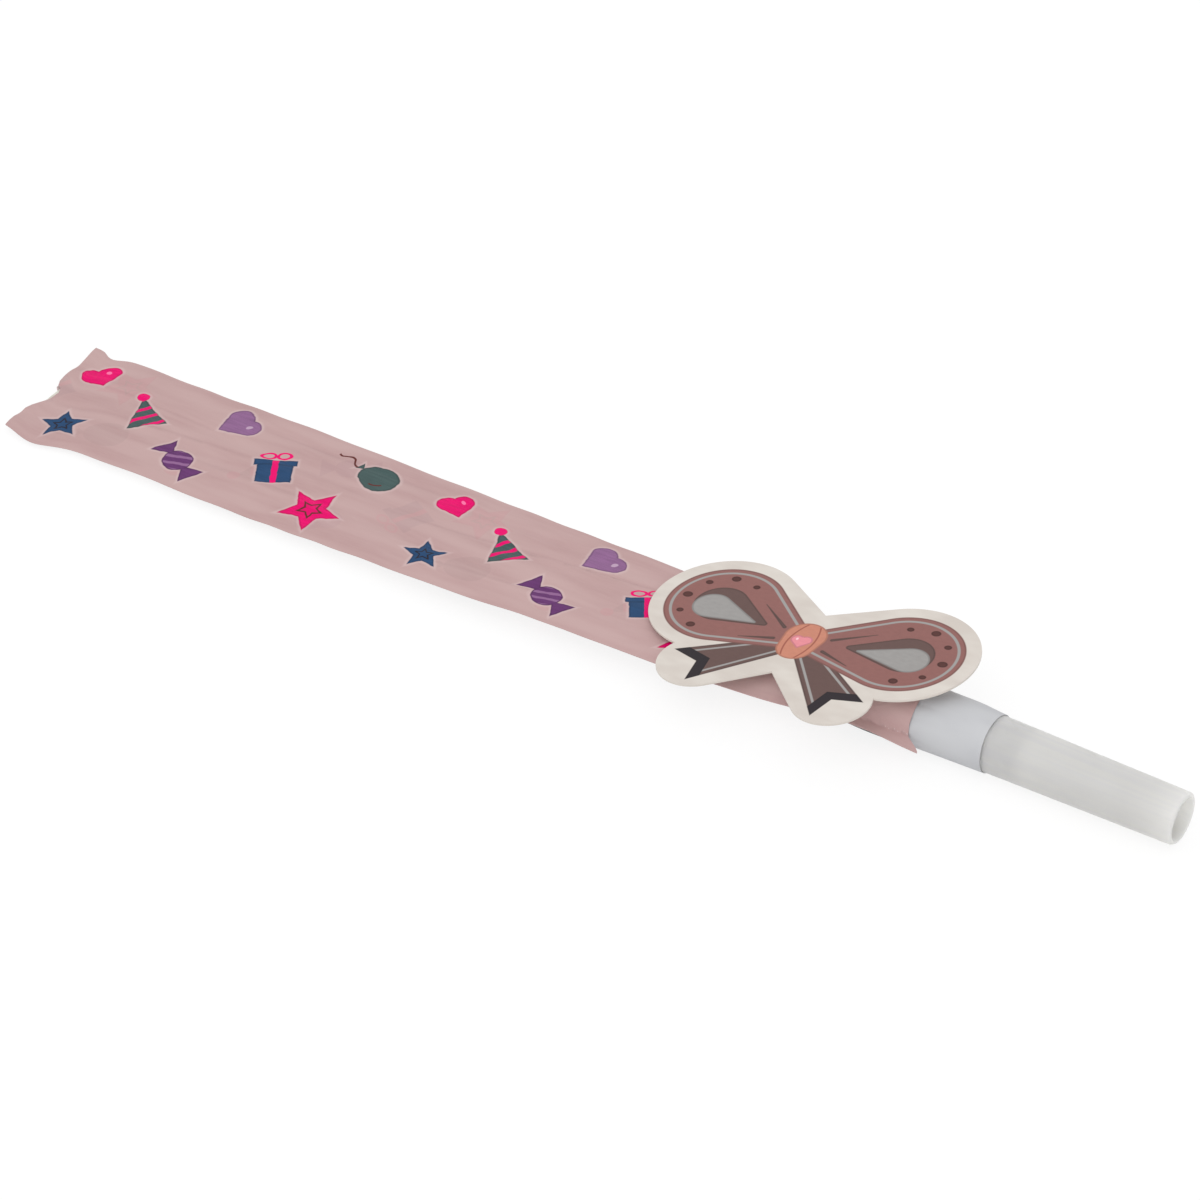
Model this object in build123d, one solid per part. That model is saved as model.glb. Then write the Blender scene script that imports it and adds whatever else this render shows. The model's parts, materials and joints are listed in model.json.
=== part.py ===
from build123d import *
import math
import os

# A party blower, unrolled along X with its mouth at +X, at rest on the plane Z = 0.
# All sizes are in millimetres. The origin is on the table, at the middle of the length.
# The open end of the paper tube is round the sleeve, and the flat tube slopes down to the table at its tip.

# Paper tube
TUBE_LENGTH = 253.0  # from the end on the sleeve to the tip
TUBE_WIDTH = 39.0  # flattened, over the side folds
TUBE_THICKNESS = 1.6  # flattened, over both layers
PAPER = 0.25  # one layer
ROOT_LENGTH = 94.0  # the stretch on the sleeve's side, which doesn't roll
ROOT_FLAT = 14.0  # the flat part of that stretch, next to the first bending line
ROOT_WIDTH = 23.0  # over the side folds, at the end on the sleeve
NECK_WIDTH = 26.5  # over the side folds, at the hidden end of the sleeve
FOLD_WIDTH = 35.0  # over the side folds, at the first bending line
TAPER_LENGTH = 42.0  # the rolling stretch in which the width grows to its full size

# Rolling sections
SECTION_COUNT = 20
SECTION_STEP = 0.32  # each section is shorter than the one before it by this much
FOLD_GAP = 0.3  # between two sections

# Tip: how far the uneven cut runs in from the end, at distances across the tube
TIP_CUT = [(16.5, 2.4), (12.0, 0.3), (5.0, 0.4), (0.0, 2.2), (-5.0, 1.6), (-10.0, 0.4), (-15.0, 0.5)]
TIP_CORNER_CUT = 0.8  # at the near corner; the far corner is left whole
TIP_GLUE_LENGTH = 1.6
TIP_GLUE_INSET = 0.3  # from the last bending line to the glue

# Curl spring
SPRING_WIDTH = 3.0
SPRING_THICKNESS = 0.2

# Sleeve
SLEEVE_SHOWN = 18.0  # from the tube's end to the sleeve's edge on the mouthpiece
SLEEVE_HIDDEN = 14.0  # inside the tube
SLEEVE_WALL = 0.3
SLEEVE_OVAL = 1.2  # how much wider than high its hidden end is, on each side

# Mouthpiece
MOUTHPIECE_SHOWN = 47.5
MOUTHPIECE_HIDDEN = 16.0  # inside the sleeve
MOUTH_DIAMETER = 12.7
BASE_DIAMETER = 13.8  # at the end in the sleeve
MOUTH_BORE_DIAMETER = 10.4
MOUTH_BORE_DEPTH = 15.0
BORE_DIAMETER = 10.0
MOUTH_ROUND = 0.8  # rounding of the outer rim at the mouth
MOUTH_BORE_ROUND = 0.25  # rounding of the inner rim at the mouth

# Reed unit
REED_SEAT_DIAMETER = 11.0  # bore for the collar, from the base to a shoulder
REED_SEAT_DEPTH = 24.0
COLLAR_LENGTH = 7.0
REED_HOLE_DIAMETER = 6.4
SHALLOT_LENGTH = 31.0
SHALLOT_WALL = 0.6
TONGUE_WIDTH = 4.6
TONGUE_THICKNESS = 0.15
TONGUE_LENGTH = 22.0  # free length, outside the clamp
TONGUE_LIFT = 1.5  # degrees that the tongue stands up at rest
REED_FIT = 0.05  # radial gap round the collar, and round the halves in its hole

# Card: a flat ribbon bow with a bare border
CARD_THICKNESS = 0.5
CARD_BORDER = 3.5
CARD_MIDDLE = 34.0  # from the tube's end back to the knot's middle
LOOP_REACH = 24.0  # from the knot to the middle of a loop's round end
LOOP_RISE = 5.5
LOOP_RADIUS = 14.5
KNOT_RADIUS = 6.0
TAIL_REACH = 18.0  # from the knot to the middle of a tail's end
TAIL_DROP = 16.5
TAIL_END_RADIUS = 6.0
CARD_GAP = 0.4  # card to tube, over the hidden end of the sleeve
CARD_REAR_GAP = 0.6  # card to tube, at the card's rear end

# Glue pads between card and tube
PAD_WIDTH = 7.0
PAD_LENGTH = 10.0
FRONT_PAD_INSET = 2.0  # from the tube's end
REAR_PAD_INSET = 14.0  # from the card's rear end
PAD_REACH = 4.0  # how far down from the card a pad's block runs before it is cut to fit the tube
PAD_FILM = 0.1  # gap between a pad and the tube under it

GLUE_FILM = 0.05  # gap at glued faces

# Blocks and bars stand on their base, or hang from their top
STANDING = (Align.CENTER, Align.CENTER, Align.MIN)
HANGING = (Align.CENTER, Align.CENTER, Align.MAX)

# Places along X
OVERALL_LENGTH = TUBE_LENGTH + SLEEVE_SHOWN + MOUTHPIECE_SHOWN
X_MOUTH = OVERALL_LENGTH / 2
X_SEAM = X_MOUTH - MOUTHPIECE_SHOWN
X_ROOT = X_SEAM - SLEEVE_SHOWN
X_TIP = X_ROOT - TUBE_LENGTH
X_NECK = X_ROOT - SLEEVE_HIDDEN
X_BASE = X_SEAM - MOUTHPIECE_HIDDEN
X_SHOULDER = X_BASE + REED_SEAT_DEPTH
X_COLLAR = X_SHOULDER - COLLAR_LENGTH


def mouthpiece_radius(x):
    """Radius of the mouthpiece's outer cone, carried on past its base."""
    taper = (BASE_DIAMETER - MOUTH_DIAMETER) / 2 / (X_MOUTH - X_BASE)
    return MOUTH_DIAMETER / 2 + taper * (X_MOUTH - x)


def sleeve_radius(x):
    """Outer radius of the sleeve, up and down."""
    return mouthpiece_radius(x) + GLUE_FILM + SLEEVE_WALL


def root_half_height(x):
    """Half height of the tube where it is round the sleeve."""
    return sleeve_radius(x) + GLUE_FILM + PAPER


AXIS_Z = root_half_height(X_NECK)
SLOPE = math.atan2(AXIS_Z - TUBE_THICKNESS / 2, X_NECK - X_TIP)
RUN_LENGTH = (X_NECK - X_TIP) / math.cos(SLOPE)
RUN_TO_FOLD = ROOT_LENGTH - SLEEVE_HIDDEN
RUN_TO_FLAT = RUN_TO_FOLD - ROOT_FLAT
ROLL_LENGTH = RUN_LENGTH - RUN_TO_FOLD


def section_length(index):
    """Length of one rolling section, counted from 0 at the root."""
    return ROLL_LENGTH / SECTION_COUNT + SECTION_STEP * ((SECTION_COUNT - 1) / 2 - index)


def fold_run(index):
    """Distance down the slope from the neck to a bending line."""
    return RUN_TO_FOLD + sum(section_length(i) for i in range(index))


def run_point(run, rise=0.0):
    """X and Z of a point on the sloping tube: distance from the neck, height above the middle plane."""
    x = X_NECK - run * math.cos(SLOPE) - rise * math.sin(SLOPE)
    z = AXIS_Z - run * math.sin(SLOPE) + rise * math.cos(SLOPE)
    return x, z


def run_plane(run):
    """Plane square to the sloping tube, with its x axis along Y and its y axis up."""
    x, z = run_point(run)
    return Plane(origin=(x, 0, z), x_dir=(0, 1, 0), z_dir=(math.cos(SLOPE), 0, math.sin(SLOPE)))


def axis_plane(x):
    """Plane square to the mouthpiece's axis, with its x axis along Y and its y axis up."""
    return Plane(origin=(x, 0, AXIS_Z), x_dir=(0, 1, 0), z_dir=(1, 0, 0))


def tube_width(run):
    """Width of the flat tube at a distance from the neck."""
    share = min(1.0, max(0.0, (run - RUN_TO_FOLD) / TAPER_LENGTH))
    return FOLD_WIDTH + (TUBE_WIDTH - FOLD_WIDTH) * share


def lens(plane, half_width, half_height):
    """Section of a flattened tube: two arcs that meet at the side folds."""
    upper = ThreePointArc((-half_width, 0), (0, half_height), (half_width, 0))
    lower = ThreePointArc((half_width, 0), (0, -half_height), (-half_width, 0))
    return plane * make_face([upper, lower])


def inner_lens(plane, half_width, half_height):
    """The hollow of such a section, one layer of paper in from it."""
    height = half_height - PAPER
    return lens(plane, half_width * math.sqrt(height / half_height), height)


def paper_loft(stations):
    """Hollow paper tube through stations of (plane, half width, half height)."""
    outside = loft([lens(*station) for station in stations], ruled=True)
    hollow = loft([inner_lens(*station) for station in stations], ruled=True)
    return outside - hollow


def rod(x_start, x_end, radius):
    """Round bar on the mouthpiece's axis."""
    return axis_plane(x_start) * Cylinder(radius, x_end - x_start, align=STANDING)


def half_rod(x_start, x_end, radius, face, upper):
    """The upper or lower half of a round bar, cut flat at a height from the axis."""
    align = Align.MIN if upper else Align.MAX
    block = Box(x_end - x_start, 2 * radius, radius, align=(Align.MIN, Align.CENTER, align))
    return rod(x_start, x_end, radius) & (Pos(x_start, 0, AXIS_Z + face) * block)


def make_mouthpiece():
    """Tapered tube with a stepped bore and a rounded mouth."""
    length = X_MOUTH - X_BASE
    cone = Cone(BASE_DIAMETER / 2, MOUTH_DIAMETER / 2, length, align=STANDING)
    body = axis_plane(X_BASE) * cone
    body -= rod(X_BASE, X_MOUTH, BORE_DIAMETER / 2)
    body -= rod(X_BASE, X_SHOULDER, REED_SEAT_DIAMETER / 2)
    body -= rod(X_MOUTH - MOUTH_BORE_DEPTH, X_MOUTH, MOUTH_BORE_DIAMETER / 2)
    rims = body.edges().filter_by_position(Axis.X, X_MOUTH, X_MOUTH).sort_by(SortBy.RADIUS)
    body = fillet(rims[-1], MOUTH_ROUND)
    rims = body.edges().filter_by_position(Axis.X, X_MOUTH, X_MOUTH).sort_by(SortBy.RADIUS)
    return fillet(rims[0], MOUTH_BORE_ROUND)


def make_sleeve():
    """Paper wrap, round on the mouthpiece and oval at its hidden end."""
    round_end = sleeve_radius(X_SEAM)
    flat_end = sleeve_radius(X_NECK)

    def cone(wall):
        seam = axis_plane(X_SEAM) * Ellipse(round_end - wall, round_end - wall)
        neck = axis_plane(X_NECK) * Ellipse(flat_end + SLEEVE_OVAL - wall, flat_end - wall)
        return loft([seam, neck], ruled=True)

    return cone(0.0) - cone(SLEEVE_WALL)


def root_stations():
    """Stations of the tube's root, from its end on the sleeve to the first bending line."""
    end = (axis_plane(X_ROOT), ROOT_WIDTH / 2, root_half_height(X_ROOT))
    neck = (axis_plane(X_NECK), NECK_WIDTH / 2, root_half_height(X_NECK))
    flat = (run_plane(RUN_TO_FLAT), FOLD_WIDTH / 2, TUBE_THICKNESS / 2)
    fold = (run_plane(RUN_TO_FOLD - FOLD_GAP / 2), FOLD_WIDTH / 2, TUBE_THICKNESS / 2)
    return [end, neck, flat, fold]


def make_section(index):
    """One rolling section of the flat tube."""
    runs = [fold_run(index) + FOLD_GAP / 2, fold_run(index + 1) - FOLD_GAP / 2]
    if index == SECTION_COUNT - 1:
        runs[1] = RUN_LENGTH
    return paper_loft([(run_plane(run), tube_width(run) / 2, TUBE_THICKNESS / 2) for run in runs])


def cut_tip(section):
    """Cut the last section to the uneven end of the tube."""
    x, z = run_point(RUN_LENGTH)
    flat = Plane(origin=(x, 0, z), x_dir=(0, 1, 0), z_dir=(-math.sin(SLOPE), 0, math.cos(SLOPE)))
    half = TUBE_WIDTH / 2
    edge = [(half, 0.0)] + TIP_CUT + [(-half, TIP_CORNER_CUT)]
    points = [(across, -inset) for across, inset in edge]
    waste = Polyline(points + [(-half, TUBE_THICKNESS), (half, TUBE_THICKNESS)], close=True)
    return section - extrude(flat * make_face(waste), TUBE_THICKNESS, both=True)


def make_tip_glue():
    """Glue that closes the hollow of the last section."""
    end = fold_run(SECTION_COUNT - 1) + TIP_GLUE_INSET + TIP_GLUE_LENGTH
    half_height = TUBE_THICKNESS / 2 - GLUE_FILM
    face = inner_lens(run_plane(end), TUBE_WIDTH / 2, half_height)
    return extrude(face, TIP_GLUE_LENGTH)


def spring_strip(floor_points):
    """Flat strip that lies on a line of (x, z) points."""
    top_points = [(x, z + SPRING_THICKNESS) for x, z in reversed(floor_points)]
    side = Plane.XZ * make_face(Polyline(floor_points + top_points, close=True))
    return extrude(side, SPRING_WIDTH / 2, both=True)


def crown(half_width, half_height):
    """How far a lens falls away across the width of the spring strip."""
    radius = (half_width**2 + half_height**2) / (2 * half_height)
    return radius - math.sqrt(radius**2 - (SPRING_WIDTH / 2) ** 2)


def make_root_spring():
    """Spring strip along the floor of the tube's root."""
    neck_floor = root_half_height(X_NECK) - PAPER
    seat = GLUE_FILM + crown(NECK_WIDTH / 2, neck_floor)
    flat_floor = seat + PAPER - TUBE_THICKNESS / 2
    fold_end = run_point(RUN_TO_FOLD - FOLD_GAP / 2, flat_floor)
    flat_end = run_point(RUN_TO_FLAT, flat_floor)
    neck_end = (X_NECK, AXIS_Z - neck_floor + seat)
    return spring_strip([fold_end, flat_end, neck_end])


def make_spring(index):
    """Spring strip on the floor of one rolling section."""
    floor = GLUE_FILM + crown(TUBE_WIDTH / 2, TUBE_THICKNESS / 2) + PAPER - TUBE_THICKNESS / 2
    rear = run_point(fold_run(index + 1) - FOLD_GAP / 2, floor)
    front = run_point(fold_run(index) + FOLD_GAP / 2, floor)
    return spring_strip([rear, front])


def make_collar():
    """Ring that seats on the shoulder in the mouthpiece and holds the reed."""
    ring = rod(X_COLLAR, X_SHOULDER, REED_SEAT_DIAMETER / 2 - REED_FIT)
    return ring - rod(X_COLLAR, X_SHOULDER, REED_HOLE_DIAMETER / 2)


HALF_RADIUS = REED_HOLE_DIAMETER / 2 - REED_FIT


def make_shallot():
    """Half-round trough, open under the tongue and to the tube, closed towards the mouth."""
    end = X_COLLAR + SHALLOT_LENGTH
    trough = half_rod(X_COLLAR, end, HALF_RADIUS, -TONGUE_THICKNESS / 2, upper=False)
    return trough - rod(X_COLLAR, end - SHALLOT_WALL, HALF_RADIUS - SHALLOT_WALL)


def make_wedge():
    """Half-round plug that clamps the heel of the tongue in the collar."""
    return half_rod(X_COLLAR, X_SHOULDER, HALF_RADIUS, TONGUE_THICKNESS / 2, upper=True)


def tongue_strip(length):
    """Strip of reed metal with its middle plane at height 0."""
    return Box(length, TONGUE_WIDTH, TONGUE_THICKNESS, align=(Align.MIN, Align.CENTER, Align.CENTER))


def make_heel():
    """The clamped end of the tongue."""
    return Pos(X_COLLAR, 0, AXIS_Z) * tongue_strip(COLLAR_LENGTH)


def make_tongue():
    """The free end of the tongue, standing up a little from the shallot."""
    blade = Pos(TONGUE_THICKNESS, 0, 0) * tongue_strip(TONGUE_LENGTH)
    return Pos(X_SHOULDER, 0, AXIS_Z) * Rot(0, -TONGUE_LIFT, 0) * blade


def round_hull(first, second, border):
    """Outline round two circles of (x, y, radius), grown by a border."""
    circles = [Pos(x, y) * Circle(radius + border) for x, y, radius in (first, second)]
    return make_hull([edge for circle in circles for edge in circle.edges()])


def card_outline():
    """The bow's outline with its border: two loops and two tails round a knot."""
    knot = (0.0, 0.0, KNOT_RADIUS)
    outline = Circle(KNOT_RADIUS + CARD_BORDER)
    for side in (-1, 1):
        outline += round_hull(knot, (side * LOOP_REACH, LOOP_RISE, LOOP_RADIUS), CARD_BORDER)
        outline += round_hull(knot, (side * TAIL_REACH, -TAIL_DROP, TAIL_END_RADIUS), CARD_BORDER)
    return outline


CARD_HALF_LENGTH = LOOP_REACH + LOOP_RADIUS + CARD_BORDER
CARD_TOP = LOOP_RISE + LOOP_RADIUS + CARD_BORDER
CARD_BOTTOM = TAIL_DROP + TAIL_END_RADIUS + CARD_BORDER
KNOT_X = X_ROOT - CARD_MIDDLE
KNOT_Y = (CARD_BOTTOM - CARD_TOP) / 2


def tube_top(x):
    """Height of the root's top line, between its flat part and the neck."""
    x_flat, z_flat = run_point(RUN_TO_FLAT, TUBE_THICKNESS / 2)
    z_neck = AXIS_Z + root_half_height(X_NECK)
    return z_flat + (z_neck - z_flat) * (x - x_flat) / (X_NECK - x_flat)


CARD_REAR_X = KNOT_X - CARD_HALF_LENGTH
CARD_NECK_Z = tube_top(X_NECK) + CARD_GAP
CARD_REAR_Z = tube_top(CARD_REAR_X) + CARD_REAR_GAP
CARD_TILT = math.atan2(CARD_NECK_Z - CARD_REAR_Z, X_NECK - CARD_REAR_X)


def card_plane():
    """Plane of the card's underside, with its origin under the knot."""
    z = CARD_NECK_Z + (KNOT_X - X_NECK) * math.tan(CARD_TILT)
    along = (math.cos(CARD_TILT), 0, math.sin(CARD_TILT))
    up = (-math.sin(CARD_TILT), 0, math.cos(CARD_TILT))
    return Plane(origin=(KNOT_X, KNOT_Y, z), x_dir=along, z_dir=up)


def make_card():
    """Flat die-cut card that leans on the tube's root."""
    return extrude(card_plane() * card_outline(), CARD_THICKNESS)


def make_pad(x_middle, tube_room):
    """Glue pad that fills the gap between the tube's room and the card."""
    x_card = (x_middle - KNOT_X) / math.cos(CARD_TILT)
    block = Box(PAD_LENGTH, PAD_WIDTH, PAD_REACH, align=HANGING)
    pieces = card_plane() * Pos(x_card, -KNOT_Y, 0) * block - tube_room
    return pieces.solids().sort_by(Axis.Z)[-1]


def make_all():
    """Every sub-part, by its node's name."""
    parts = {
        "mouthpiece": make_mouthpiece(),
        "paper_sleeve": make_sleeve(),
        "reed_collar": make_collar(),
        "reed_shallot": make_shallot(),
        "reed_wedge": make_wedge(),
        "reed_heel": make_heel(),
        "reed_tongue": make_tongue(),
        "paper_tube_root": paper_loft(root_stations()),
        "curl_spring_root": make_root_spring(),
        "bow_card": make_card(),
        "tip_glue": make_tip_glue(),
    }
    padded = [lens(plane, width + PAD_FILM, height + PAD_FILM) for plane, width, height in root_stations()]
    room = loft(padded, ruled=True)
    parts["card_glue_front"] = make_pad(X_ROOT - FRONT_PAD_INSET - PAD_LENGTH / 2, room)
    parts["card_glue_rear"] = make_pad(CARD_REAR_X + REAR_PAD_INSET, room)
    for index in range(SECTION_COUNT):
        section = make_section(index)
        if index == SECTION_COUNT - 1:
            section = cut_tip(section)
        else:
            parts[f"curl_spring_{index + 1:02d}"] = make_spring(index)
        parts[f"paper_tube_{index + 1:02d}"] = section
    return parts


os.makedirs("parts", exist_ok=True)
for node, shape in make_all().items():
    export_step(shape, f"parts/{node}.step")
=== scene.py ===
"""Looks of a party blower: printed paper tube, sleeve, milky mouthpiece, bow card and the reed inside."""

import json
import logging
import math
from dataclasses import dataclass
from enum import Enum
from typing import Callable, ClassVar, Sequence, Union

import bpy
import numpy as np
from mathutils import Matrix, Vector


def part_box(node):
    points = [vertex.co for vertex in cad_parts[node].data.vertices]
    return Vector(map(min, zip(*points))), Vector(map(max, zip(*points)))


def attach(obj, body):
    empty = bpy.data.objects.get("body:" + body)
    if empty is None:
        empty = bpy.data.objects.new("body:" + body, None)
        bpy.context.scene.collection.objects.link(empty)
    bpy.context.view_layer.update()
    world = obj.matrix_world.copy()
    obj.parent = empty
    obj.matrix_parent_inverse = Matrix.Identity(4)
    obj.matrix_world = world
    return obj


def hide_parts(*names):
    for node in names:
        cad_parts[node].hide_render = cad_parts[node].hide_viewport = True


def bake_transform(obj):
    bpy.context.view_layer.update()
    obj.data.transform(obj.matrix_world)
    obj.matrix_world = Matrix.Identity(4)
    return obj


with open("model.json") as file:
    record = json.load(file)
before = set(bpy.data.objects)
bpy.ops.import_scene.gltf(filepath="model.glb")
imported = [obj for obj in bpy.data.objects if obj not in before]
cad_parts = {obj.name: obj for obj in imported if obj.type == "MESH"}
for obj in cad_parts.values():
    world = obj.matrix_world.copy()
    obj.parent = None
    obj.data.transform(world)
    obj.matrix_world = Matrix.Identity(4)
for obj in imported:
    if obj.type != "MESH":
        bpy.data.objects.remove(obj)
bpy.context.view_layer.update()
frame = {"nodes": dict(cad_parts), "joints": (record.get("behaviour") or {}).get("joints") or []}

MM = 0.001  # one millimetre; sizes below are in millimetres, and meshes in metres
PRINT_MAP = "PrintMap"  # UV map of the flat paper, in millimetres along and across
INSIDE = 300.0  # shift across of that map on the paper's unprinted side
log = logging.getLogger("party_blower")

Colour = tuple[float, float, float, float]
Circle = tuple[float, float, float]  # x, y and radius
Stretch = tuple[float, float]  # where something starts and where it is complete
CreaseLine = tuple[float, float, float, float, float]  # run and across of both ends, and a width


def paint(red: int, green: int, blue: int) -> Colour:
    """Turn a display colour into the linear one that a shader takes.

    Args:
        red: Red as displayed, 0 to 255.
        green: Green as displayed, 0 to 255.
        blue: Blue as displayed, 0 to 255.

    Returns:
        Linear red, green, blue and an alpha of 1.
    """

    def linear(level: int) -> float:
        """Undo the display curve of one channel."""
        share = level / 255
        return share / 12.92 if share <= 0.04045 else ((share + 0.055) / 1.055) ** 2.4

    return linear(red), linear(green), linear(blue), 1.0


def smooth(values: np.ndarray, start: float, end: float) -> np.ndarray:
    """Rise smoothly from 0 at start to 1 at end.

    Args:
        values: Where to evaluate.
        start: Value at which the rise begins.
        end: Value at which it is complete.

    Returns:
        The share risen, of the same shape as values.
    """
    share = np.clip((values - start) / (end - start), 0.0, 1.0)
    return share * share * (3 - 2 * share)


def bump(values: np.ndarray, middle: float, reach: float) -> np.ndarray:
    """Bell curve of height 1 round a middle."""
    return np.exp(-(((values - middle) / reach) ** 2))


def between(values: np.ndarray, rise: Stretch, fall: Stretch) -> np.ndarray:
    """Rise smoothly to 1 over one stretch and fall back to 0 over another."""
    return smooth(values, *rise) * (1 - smooth(values, *fall))


def eased(
    run: np.ndarray, runs: Sequence[float], values: Sequence[float], shifts: Sequence[float]
) -> np.ndarray:
    """Interpolate along a run, with the corners rounded by a mean over shifts.

    Args:
        run: Where to evaluate.
        runs: Runs at which values are known.
        values: Those values.
        shifts: Distances along the run over which the mean is taken.

    Returns:
        The rounded values, of the same shape as run.
    """
    return sum(np.interp(run + shift, runs, values) for shift in shifts) / len(shifts)


class Socket(Enum):
    """Kinds of socket on a node group."""

    NUMBER = "NodeSocketFloat"
    VECTOR = "NodeSocketVector"
    COLOUR = "NodeSocketColor"


def operation(kind: str, flipped: bool = False) -> Callable[..., "Field"]:
    """Make a method of Field that puts a Math node on its value.

    Args:
        kind: Blender's name of the operation.
        flipped: Whether the other value comes first.

    Returns:
        The method, which takes another value where the operation has two.
    """

    def method(field: "Field", *others: "Value") -> "Field":
        """Put the Math node on the field and the other value."""
        return field.graph.math(kind, *((*others, field) if flipped else (field, *others)))

    return method


@dataclass(frozen=True)
class Field:
    """A value that changes over a surface: one output socket, with arithmetic."""

    graph: "Graph"
    socket: bpy.types.NodeSocket

    __add__ = operation("ADD")
    __radd__ = operation("ADD", flipped=True)
    __sub__ = operation("SUBTRACT")
    __rsub__ = operation("SUBTRACT", flipped=True)
    __mul__ = operation("MULTIPLY")
    __truediv__ = operation("DIVIDE")
    __abs__ = operation("ABSOLUTE")
    least = operation("MINIMUM")  # of two shapes' distances, their union
    most = operation("MAXIMUM")  # of two shapes' distances, their overlap
    wrapped = operation("FLOORED_MODULO")  # what is left over after whole periods
    sine = operation("SINE")
    cosine = operation("COSINE")
    above = operation("GREATER_THAN")  # 1 where the value is above a limit, else 0

    def switch(self, low: "Value", high: "Value") -> "Field":
        """Pick low where this mask is 0, high where it is 1."""
        return low + self * (high - low)

    def ramp(self, start: float, end: float, low: float = 0.0, high: float = 1.0) -> "Field":
        """Map start to end smoothly on to low to high."""
        node = self.graph.node("ShaderNodeMapRange", interpolation_type="SMOOTHSTEP")
        ends = {"From Min": start, "From Max": end, "To Min": low, "To Max": high}
        return self.graph.filled(node, {"Value": self, **ends}, "Result")


Value = Union[Field, float, tuple]


class Graph:
    """A shader node tree under construction."""

    def __init__(self, tree: bpy.types.NodeTree) -> None:
        """Take the tree to add nodes to."""
        self.tree = tree

    def node(self, kind: str, **settings: object) -> bpy.types.Node:
        """Add a node.

        Args:
            kind: Blender's type name of the node.
            **settings: Attributes to set on it.

        Returns:
            The new node.
        """
        made = self.tree.nodes.new(kind)
        made.location = (180 * (len(self.tree.nodes) % 12), -220 * (len(self.tree.nodes) // 12))
        for name, value in settings.items():
            setattr(made, name, value)
        return made

    def feed(self, socket: bpy.types.NodeSocket, value: Value) -> None:
        """Link a field to an input socket, or set a plain value on it."""
        if isinstance(value, Field):
            self.tree.links.new(value.socket, socket)
        else:
            socket.default_value = value

    def filled(self, node: bpy.types.Node, values: dict, output: str | int = 0) -> Field:
        """Feed a node's inputs.

        Args:
            node: The node.
            values: Values by the input's name or place.
            output: Which of its outputs to give.

        Returns:
            That output.
        """
        for key, value in values.items():
            self.feed(node.inputs[key], value)
        return Field(self, node.outputs[output])

    def math(self, kind: str, *values: Value) -> Field:
        """Add a Math node on one or two values."""
        return self.filled(self.node("ShaderNodeMath", operation=kind), dict(enumerate(values)))

    def vectors(self, kind: str, *values: Value, output: str = "Vector") -> Field:
        """Add a Vector Math node on one or two vectors."""
        return self.filled(self.node("ShaderNodeVectorMath", operation=kind), dict(enumerate(values)), output)

    def join(self, x: Value, y: Value) -> Field:
        """Vector from two numbers, with z at 0."""
        return self.filled(self.node("ShaderNodeCombineXYZ"), {"X": x, "Y": y})

    def split(self, vector: Field) -> tuple[Field, Field]:
        """The x and y of a vector."""
        x = self.filled(self.node("ShaderNodeSeparateXYZ"), {"Vector": vector}, "X")
        return x, Field(self, x.socket.node.outputs["Y"])

    def hypot(self, x: Field, y: Field) -> Field:
        """Distance from the origin."""
        return self.math("SQRT", x * x + y * y)

    def beside(self, given: dict[str, Field]) -> tuple[Field, Field, Field, Field]:
        """Where a point lies beside a line.

        Args:
            given: The Point, and the Start and End of the line.

        Returns:
            Distance along the line, off it and from its start, and the line's length.
        """
        axis = self.vectors("SUBTRACT", given["End"], given["Start"])
        arm = self.vectors("SUBTRACT", given["Point"], given["Start"])
        length = self.vectors("LENGTH", axis, output="Value")
        along = self.vectors("DOT_PRODUCT", arm, self.vectors("NORMALIZE", axis), output="Value")
        reach = self.vectors("LENGTH", arm, output="Value")
        off = self.math("SQRT", (reach * reach - along * along).most(0.0))
        return along, off, reach, length

    def mix(self, share: Value, under: Value, over: Value) -> Field:
        """Lay one colour over another by a share."""
        return self.filled(self.node("ShaderNodeMix", data_type="RGBA"), {0: share, 6: under, 7: over}, 2)

    def noise(self, vector: Field, scale: float, detail: float = 2.0, output: str = "Fac") -> Field:
        """Add a Noise texture and give one of its outputs."""
        values = {"Vector": vector, "Scale": scale, "Detail": detail}
        return self.filled(self.node("ShaderNodeTexNoise"), values, output)

    def streaks(self, point: Field, stretch: tuple[float, float, float], detail: float = 2.0) -> Field:
        """Noise drawn out along an axis."""
        return self.noise(self.vectors("MULTIPLY", point, stretch), 1.0, detail)


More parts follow.
